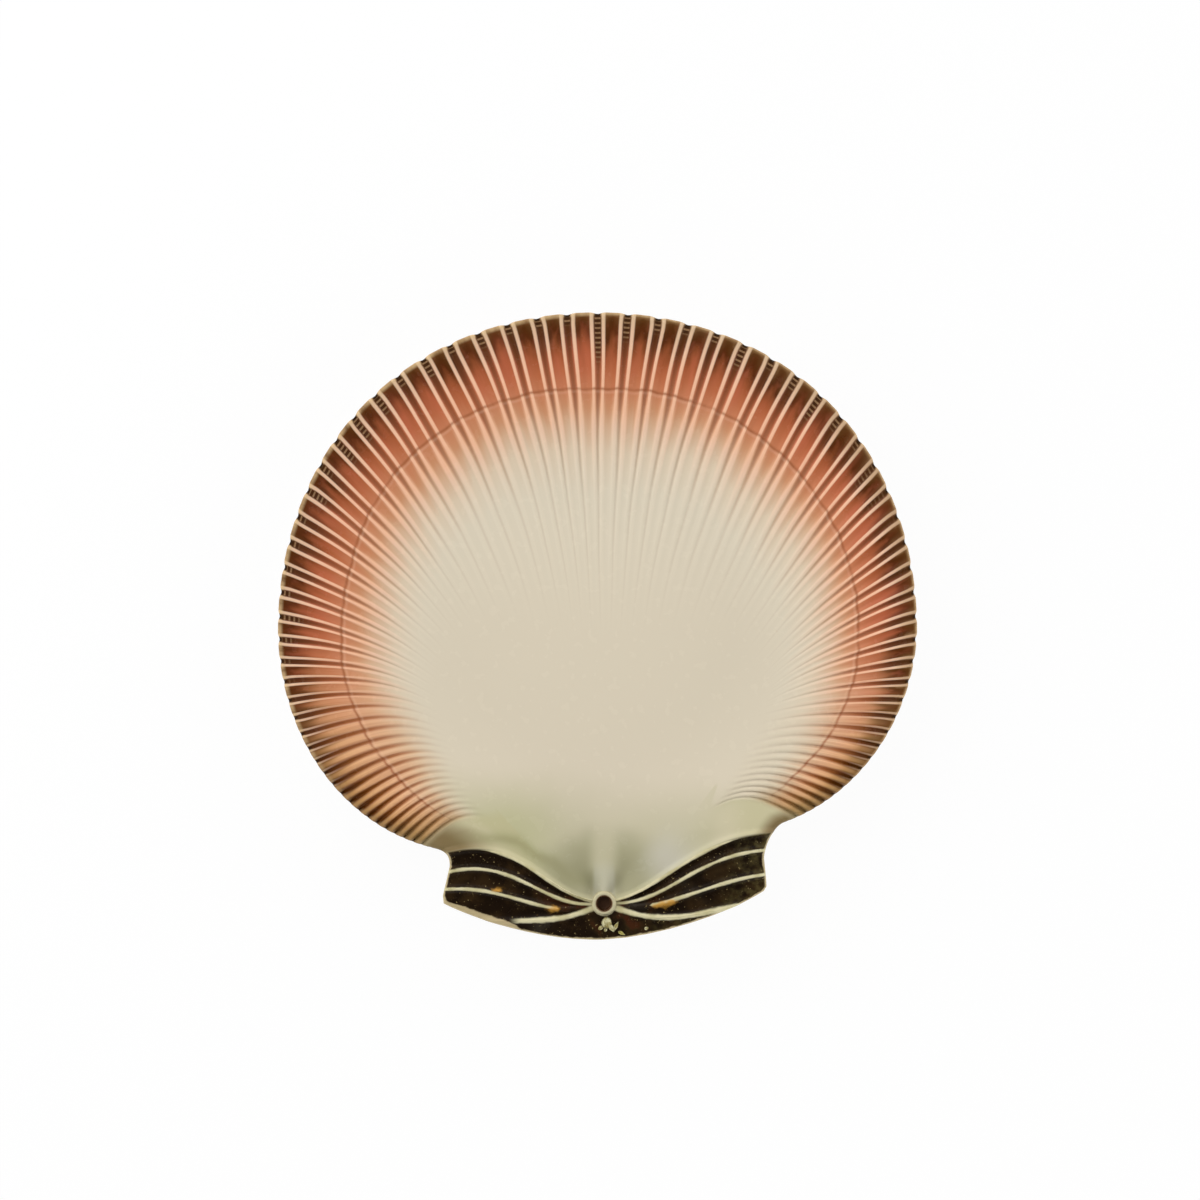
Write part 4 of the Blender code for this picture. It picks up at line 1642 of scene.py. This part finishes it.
    def rungs(self, shader: Shader, colour: Field, off: Field, depth: Field) -> Field:
        """Dark channels beside the rim with pale rungs across them.

        Args:
            shader: The material's node tree.
            colour: The colour below it.
            off: Way off the middle of the nearest channel, in ribs.
            depth: Way in from the rim, in mm.

        Returns:
            The colour.
        """
        rib = shader.layer(Layer.RIB).round()
        lucky = shader.noise(shader.vector(rib * 3.37, 0.5), 1.0, 1.0).rise(.5, .64)
        length = 4.0 + lucky * 6.0 + rib.bell(0.0, 0.4) * 13.0
        reach = (depth / length).rise(1.15, .7)
        rung = (depth * (2 * math.pi / 1.65) + rib * 1.9).wave().rise(-.1, .9)
        side = shader.place()[0].rise(-.03, .03)
        share = off.rise(.13, .07) * reach * (abs(rib) + side * 8.0).rise(22, 16)
        dark = shader.blend(share * 0.65, colour, self.gap)
        notch = off.rise(.12, .05) * depth.rise(1.8, .8)
        pale = shader.blend(share * rung * 0.6 * depth.rise(.8, 1.6), dark, self.rung)
        return shader.blend(notch * 0.7, pale, self.notch)

    def growth_line(self, shader: Shader, colour: Field) -> Field:
        """Thin broken line where the plate once stopped growing, with a painted highlight on the bank
        inside it.

        Args:
            shader: The material's node tree.
            colour: The colour below it.

        Returns:
            The colour.
        """
        past = shader.layer(Layer.PAST)
        broken = shader.noise(shader.vector(shader.layer(Layer.RIB) * 0.55, 3.1), 1.0, 3.0)
        shown = broken.rise(.2, .55) * shader.layer(Layer.LEFT).rise(1.0, 7.0)
        colour = shader.blend(past.bell(0.0, 0.52) * shown * 0.72, colour, self.growth)
        # Painted highlight on the inner bank of the growth line's groove
        return shader.blend(past.bell(1.1, 0.5) * shown * 0.16, colour, self.bank)

    def well_tint(self, shader: Shader, colour: Field) -> Field:
        """Turns the well from cream to celadon towards the hinge, olive by the necks.

        Args:
            shader: The material's node tree.
            colour: The colour below it.

        Returns:
            The colour.
        """
        x, y, _ = shader.place()
        cloud = shader.noise(shader.spot(), 24.0, 3.0) - 0.5
        depth, last = shader.layer(Layer.DEPTH), shader.layer(Layer.LEFT)
        colour = shader.blend(last.rise(1.5, 0.4), colour, self.cream)
        past = shader.layer(Layer.REACH).rise(1.2, 2.2)
        low = y + cloud * 0.016
        colour = shader.blend(past * low.rise(-0.048, -0.078) * 0.85, colour, self.celadon)
        green = past * low.rise(-0.047, -0.076) * (x + cloud * 0.01).rise(-0.008, -0.034)
        colour = shader.blend(green * 0.6, colour, self.green)
        sides = x.rise(-0.008, -0.03) + x.rise(.03, .056)
        beyond = last.rise(2.0, 0.5)
        colour = shader.blend(beyond * sides * 0.85, colour, self.neck)
        # Brown smudge together with a painted soft shadow in the corner of each neck
        smudge_and_shade = beyond * (depth * (1 + x.rise(0.0, .03) * 1.6) + cloud * 16.0).rise(20.0, 5.0)
        return shader.blend(smudge_and_shade * 0.85, colour, self.smudge_and_shade)

    def hinge_colour(self, shader: Shader, colour: Field) -> Field:
        """Pale fold above the ears, painted shade behind it, olive glaze pooled beside the pale umbo
        and a painted sheen right of it.

        Args:
            shader: The material's node tree.
            colour: The colour below it.

        Returns:
            The colour.
        """
        x, _, _ = shader.place()
        ring, ridge = shader.layer(Layer.RING), shader.layer(Layer.RIDGE)
        cloud = shader.noise(shader.spot(), 60.0, 2.0) - 0.5
        aside = (x - self.hinge_x) / (ring * MM)
        left = aside.rise(.1, -.4)
        # Painted shade that the ears' fold throws on the well behind it
        fold_shade = (ridge + cloud * 6.0).bell(10.0, 4.5) * ring.rise(62.0, 40.0)
        colour = shader.blend(fold_shade * (left * 0.55 + 0.1), colour, self.fold_shade)
        across = abs(x - self.hinge_x) / MM
        basin = (ring + cloud * 9.0).rise(31.0, 15.0) * (across.rise(1.5, 7.0) * 0.55 + 0.22)
        colour = shader.blend(basin, colour, self.basin)
        pool = (ring + cloud * 6.0).rise(15.0, 8.0) * across.bell(5.2, 2.0)
        colour = shader.blend(pool * 0.35, colour, self.pool)
        # Painted sheen: a pale reflection on the slope right of the umbo
        sheen = ring.bell(27.0, 8.0) * aside.rise(.5, .8)
        colour = shader.blend(sheen * 0.7, colour, self.sheen)
        umbo = (ring + cloud * 8.0).rise(17.0, 10.0) * across.rise(4.6, 2.8)
        colour = shader.blend(umbo * 0.5, colour, self.umbo)
        return shader.blend(ridge.rise(4.5, 1.5) * 0.4, colour, self.fold)

    def ring_colour(self, shader: Shader, colour: Field) -> Field:
        """Cream ring with a dark brown hole.

        Args:
            shader: The material's node tree.
            colour: The colour below it.

        Returns:
            The colour.
        """
        ring = shader.layer(Layer.RING)
        bead = ring.rise(4.6, 4.1) * (1 - shader.layer(Layer.BELOW).rise(0.1, 0.2))
        colour = shader.blend(bead, colour, self.bead)
        return shader.blend(ring.rise(3.25, 2.7), colour, self.hole)

    def ear_colour(self, shader: Shader, colour: Field) -> Field:
        """Near-black bands with cream ridges, amber runs and a tan edge.

        Args:
            shader: The material's node tree.
            colour: The colour below it.

        Returns:
            The colour.
        """
        x, y, _ = shader.place()
        spot, depth = shader.spot(), shader.layer(Layer.DEPTH)
        cloud, fine = shader.noise(spot, 150.0, 3.0), shader.noise(spot, 420.0, 3.0)
        band = shader.blend(cloud.rise(.4, .66), self.black, self.umber)
        olive = depth.rise(20.0, 3.0) * x.rise(0.0, 0.05) * fine.rise(.35, .75)
        band = shader.blend(olive * 0.6, band, self.moss)
        band = shader.blend(cloud.rise(.55, .7) * abs(x).rise(.03, .005) * 0.6, band, self.rust)
        specks = shader.noise(spot, 1100.0, 2.0, 0.6).rise(.67, .73)
        band = shader.blend(specks * 0.8, band, self.speck)
        strip = y.rise(-0.0945, -0.0975) * x.rise(-0.026, -0.031)
        rim = shader.layer(Layer.EDGE)
        edge = (rim + (fine - 0.5) * 1.2 - strip * 1.5).rise(0.9, 0.3)
        edge = edge * shader.layer(Layer.BELOW).rise(0.5, 0.1)
        band = shader.blend(edge * 0.8, band, self.ear_lip)
        colour = shader.blend(shader.layer(Layer.DARK), colour, band)
        ridge = (shader.layer(Layer.RIDGE) + (fine - 0.5) * 0.8).rise(1.5, 0.5) * (1 - strip)
        cream = shader.blend(cloud.rise(.4, .7), self.ear_ridge, self.ear_ridge_dull)
        colour = shader.blend(ridge, colour, cream)
        amber = (shader.layer(Layer.AMBER) + (fine - 0.5) * 1.3).rise(.25, .95)
        return shader.blend(amber * 0.85, colour, self.amber)

    def colour(self, shader: Shader, bare: Field) -> Field:
        """Colour of the whole body.

        Args:
            shader: The material's node tree.
            bare: 1 where there is no glaze.

        Returns:
            The colour.
        """
        inside = self.growth_line(shader, self.fan_colour(shader))
        inside = self.hinge_colour(shader, self.well_tint(shader, inside))
        inside = self.ring_colour(shader, self.ear_colour(shader, inside))
        cloud = shader.noise(shader.spot(), 40.0, 3.0)
        glazed = shader.blend(cloud.rise(.3, .7), self.back, self.back_pale)
        below = shader.blend(bare, glazed, self.clay)
        under = (shader.layer(Layer.BELOW) + (cloud - 0.5) * 3.0).rise(0.2, 5.0)
        return shader.blend(under, inside, below)

    def roughness(self, shader: Shader, bare: Field) -> Field:
        """Roughness of the glaze and of the bare foot."""
        glazed = 0.2 + shader.noise(shader.spot(), 260.0, 3.0) * 0.12
        return glazed + bare * 0.5

    def normal(self, shader: Shader) -> Field:
        """Orange-peel waviness of the glaze."""
        return shader.bump(shader.noise(shader.spot(), 220.0, 2.0), 0.02 * MM)


@dataclass(frozen=True)
class LeafGlaze:
    """Green-cream glaze of the little leaves at the tail, worn thin on their crests."""

    name: str = "leaf_glaze"
    pale: Colour = (204, 198, 156)
    dull: Colour = (150, 138, 84)           # clouds in it
    tip: Colour = (170, 160, 78)            # the green tip of the long leaf
    foot: Colour = (46, 36, 16)             # dark glaze gathered at the feet

    def build(self) -> bpy.types.Material:
        """Builds the material.

        Returns:
            The material.
        """
        shader = Shader(bpy.data.materials.new(self.name))
        cloud = shader.noise(shader.spot(), 700.0, 3.0)
        tip = shader.place()[0].bell(8.5 * MM, 1.3 * MM)
        top = shader.blend(cloud.rise(.42, .62), self.pale, self.dull)
        top = shader.blend(tip * 0.8, top, self.tip)
        low = (shader.layer(Layer.CREST) + (cloud - 0.5) * 0.7).rise(.78, .35)
        colour = shader.blend(low, top, self.foot)
        bump = shader.bump(shader.noise(shader.spot(), 900.0, 2.0), 0.08 * MM)
        return shader.surface(Base_Color=colour, Roughness=0.22 + cloud * 0.1, Normal=bump,
                              Specular_IOR_Level=GLAZE_LEVEL)


@dataclass(frozen=True)
class StudioPaper:
    """White sweep that the plate lies on; it keeps a soft shadow."""

    name: str = "studio_paper"
    white: float = 0.94          # share of the camera's view that is plain white
    low: Colour = (246, 246, 246)
    high: Colour = (250, 250, 250)

    def build(self) -> bpy.types.Material:
        """Builds the material.

        Returns:
            The material.
        """
        shader = Shader(bpy.data.materials.new(self.name))
        tone = shader.blend(shader.noise(shader.spot(), 60.0), self.low, self.high)
        paper = shader.node("ShaderNodeBsdfPrincipled", None,
                            {"Base Color": tone, "Roughness": 0.9})
        glow = shader.node("ShaderNodeEmission", None, {"Color": display(*WHITE)})
        seen = shader.node("ShaderNodeLightPath", output="Is Camera Ray")
        mixed = shader.node("ShaderNodeMixShader", None,
                            {0: seen * self.white, 1: paper, 2: glow})
        shader.node("ShaderNodeOutputMaterial", None, {0: mixed})
        return shader.owner


@dataclass(frozen=True)
class Studio:
    """Floor, soft light and the camera straight above."""

    field_width: float = 0.4164          # width of the picture at the rim
    picture: float = 1200.0              # pixels
    plate_at: Point2 = (597.5, 626.5)    # pixel of the middle of the plate
    lens: float = 110.0
    sensor: float = 36.0
    floor_size: float = 6.0
    floor_drop: float = 0.05 * MM        # keeps the floor off the flat of the foot
    key_at: tuple[float, float, float] = (-0.62, 0.58, 0.85)
    key_power: float = 7.9
    key_size: float = 1.2
    fill_at: tuple[float, float, float] = (0.75, -0.35, 0.5)
    fill_power: float = 1.8
    fill_size: float = 1.0
    zenith: float = 0.175        # strength of the sky straight overhead
    sky: float = 2.46            # and low down
    zenith_until: float = 0.6    # height of a direction above which the sky is dim
    sky_from: float = 0.3        # and below which it is at its brightest
    unmirrored: float = 0.8      # share of the sky that the glaze doesn't mirror

    def build(self) -> None:
        """Sets up the floor, the lights, the sky and the camera."""
        self.floor()
        self.lamp("key", self.key_at, self.key_size, self.key_power)
        self.lamp("fill", self.fill_at, self.fill_size, self.fill_power)
        self.world()
        self.camera()
        bpy.context.scene.view_settings.view_transform = "Standard"

    def floor(self) -> None:
        """The sweep under the plate."""
        select_only()
        bpy.ops.mesh.primitive_plane_add(size=self.floor_size,
                                         location=(0, 0, -self.floor_drop))
        floor = bpy.context.object
        floor.name = "studio_floor"
        floor.data.materials.append(StudioPaper().build())

    def lamp(self, name: str, place: tuple[float, float, float], size: float,
             power: float) -> None:
        """A square softbox aimed at the plate, which the glaze doesn't mirror.

        Args:
            name: Its name.
            place: Its middle.
            size: Its side.
            power: Its power in watts.
        """
        select_only()
        bpy.ops.object.light_add(type="AREA", location=place)
        lamp = bpy.context.object
        lamp.name = name
        lamp.visible_glossy = False
        lamp.data.size, lamp.data.energy = size, power
        away = np.array(place)
        lamp.rotation_euler = (math.acos(away[2] / np.linalg.norm(away)), 0.0,
                               math.atan2(away[1], away[0]) + math.pi / 2)

    def world(self) -> None:
        """Sky that is dim overhead and bright low down, and white where the camera sees it."""
        shader = Shader(bpy.data.worlds.new("studio_sky"))
        bpy.context.scene.world = shader.owner
        _, _, up = shader.parts(shader.node("ShaderNodeTexCoord", output="Generated"))
        light = up.rise(self.zenith_until, self.sky_from) * (self.sky - self.zenith) + self.zenith
        paint = display(*WHITE)
        mirrored = shader.node("ShaderNodeLightPath", output="Is Glossy Ray")
        light = light * (1 - mirrored * self.unmirrored)
        plain = shader.node("ShaderNodeBackground", None, {"Color": paint, "Strength": light})
        white = shader.node("ShaderNodeBackground", None, {"Color": paint})
        seen = shader.node("ShaderNodeLightPath", output="Is Camera Ray")
        mixed = shader.node("ShaderNodeMixShader", None, {0: seen, 1: plain, 2: white})
        shader.node("ShaderNodeOutputWorld", None, {0: mixed})

    def camera(self) -> None:
        """Looks straight down, framed as the photograph is."""
        low, high = CAD_BOX
        height = self.field_width * self.lens / self.sensor
        per_pixel = self.field_width / self.picture
        middle = self.picture / 2
        select_only()
        bpy.ops.object.camera_add(
            location=((low[0] + high[0]) / 2 + (middle - self.plate_at[0]) * per_pixel,
                      (low[1] + high[1]) / 2 - (middle - self.plate_at[1]) * per_pixel,
                      high[2] + height),
            rotation=(0, 0, 0))
        camera = bpy.context.object
        camera.name = "studio_camera"
        camera.data.lens, camera.data.sensor_width = self.lens, self.sensor
        bpy.context.scene.camera = camera


def main() -> None:
    """Builds and dresses the plate, then the studio."""
    logging.basicConfig(level=logging.INFO, format="%(name)s: %(message)s")
    plate = ShellBody().build()
    plate.data.materials.append(ShellGlaze().build())
    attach(plate, "root")
    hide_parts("plate")
    LOG.info("shell_plate: %d vertices, %d faces", len(plate.data.vertices),
             len(plate.data.polygons))
    leaves = TailLeaves().build()
    leaves.data.materials.append(LeafGlaze().build())
    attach(leaves, "root")
    LOG.info("tail_leaves: %d faces", len(leaves.data.polygons))
    Studio().build()


if __name__ == "__main__":
    main()
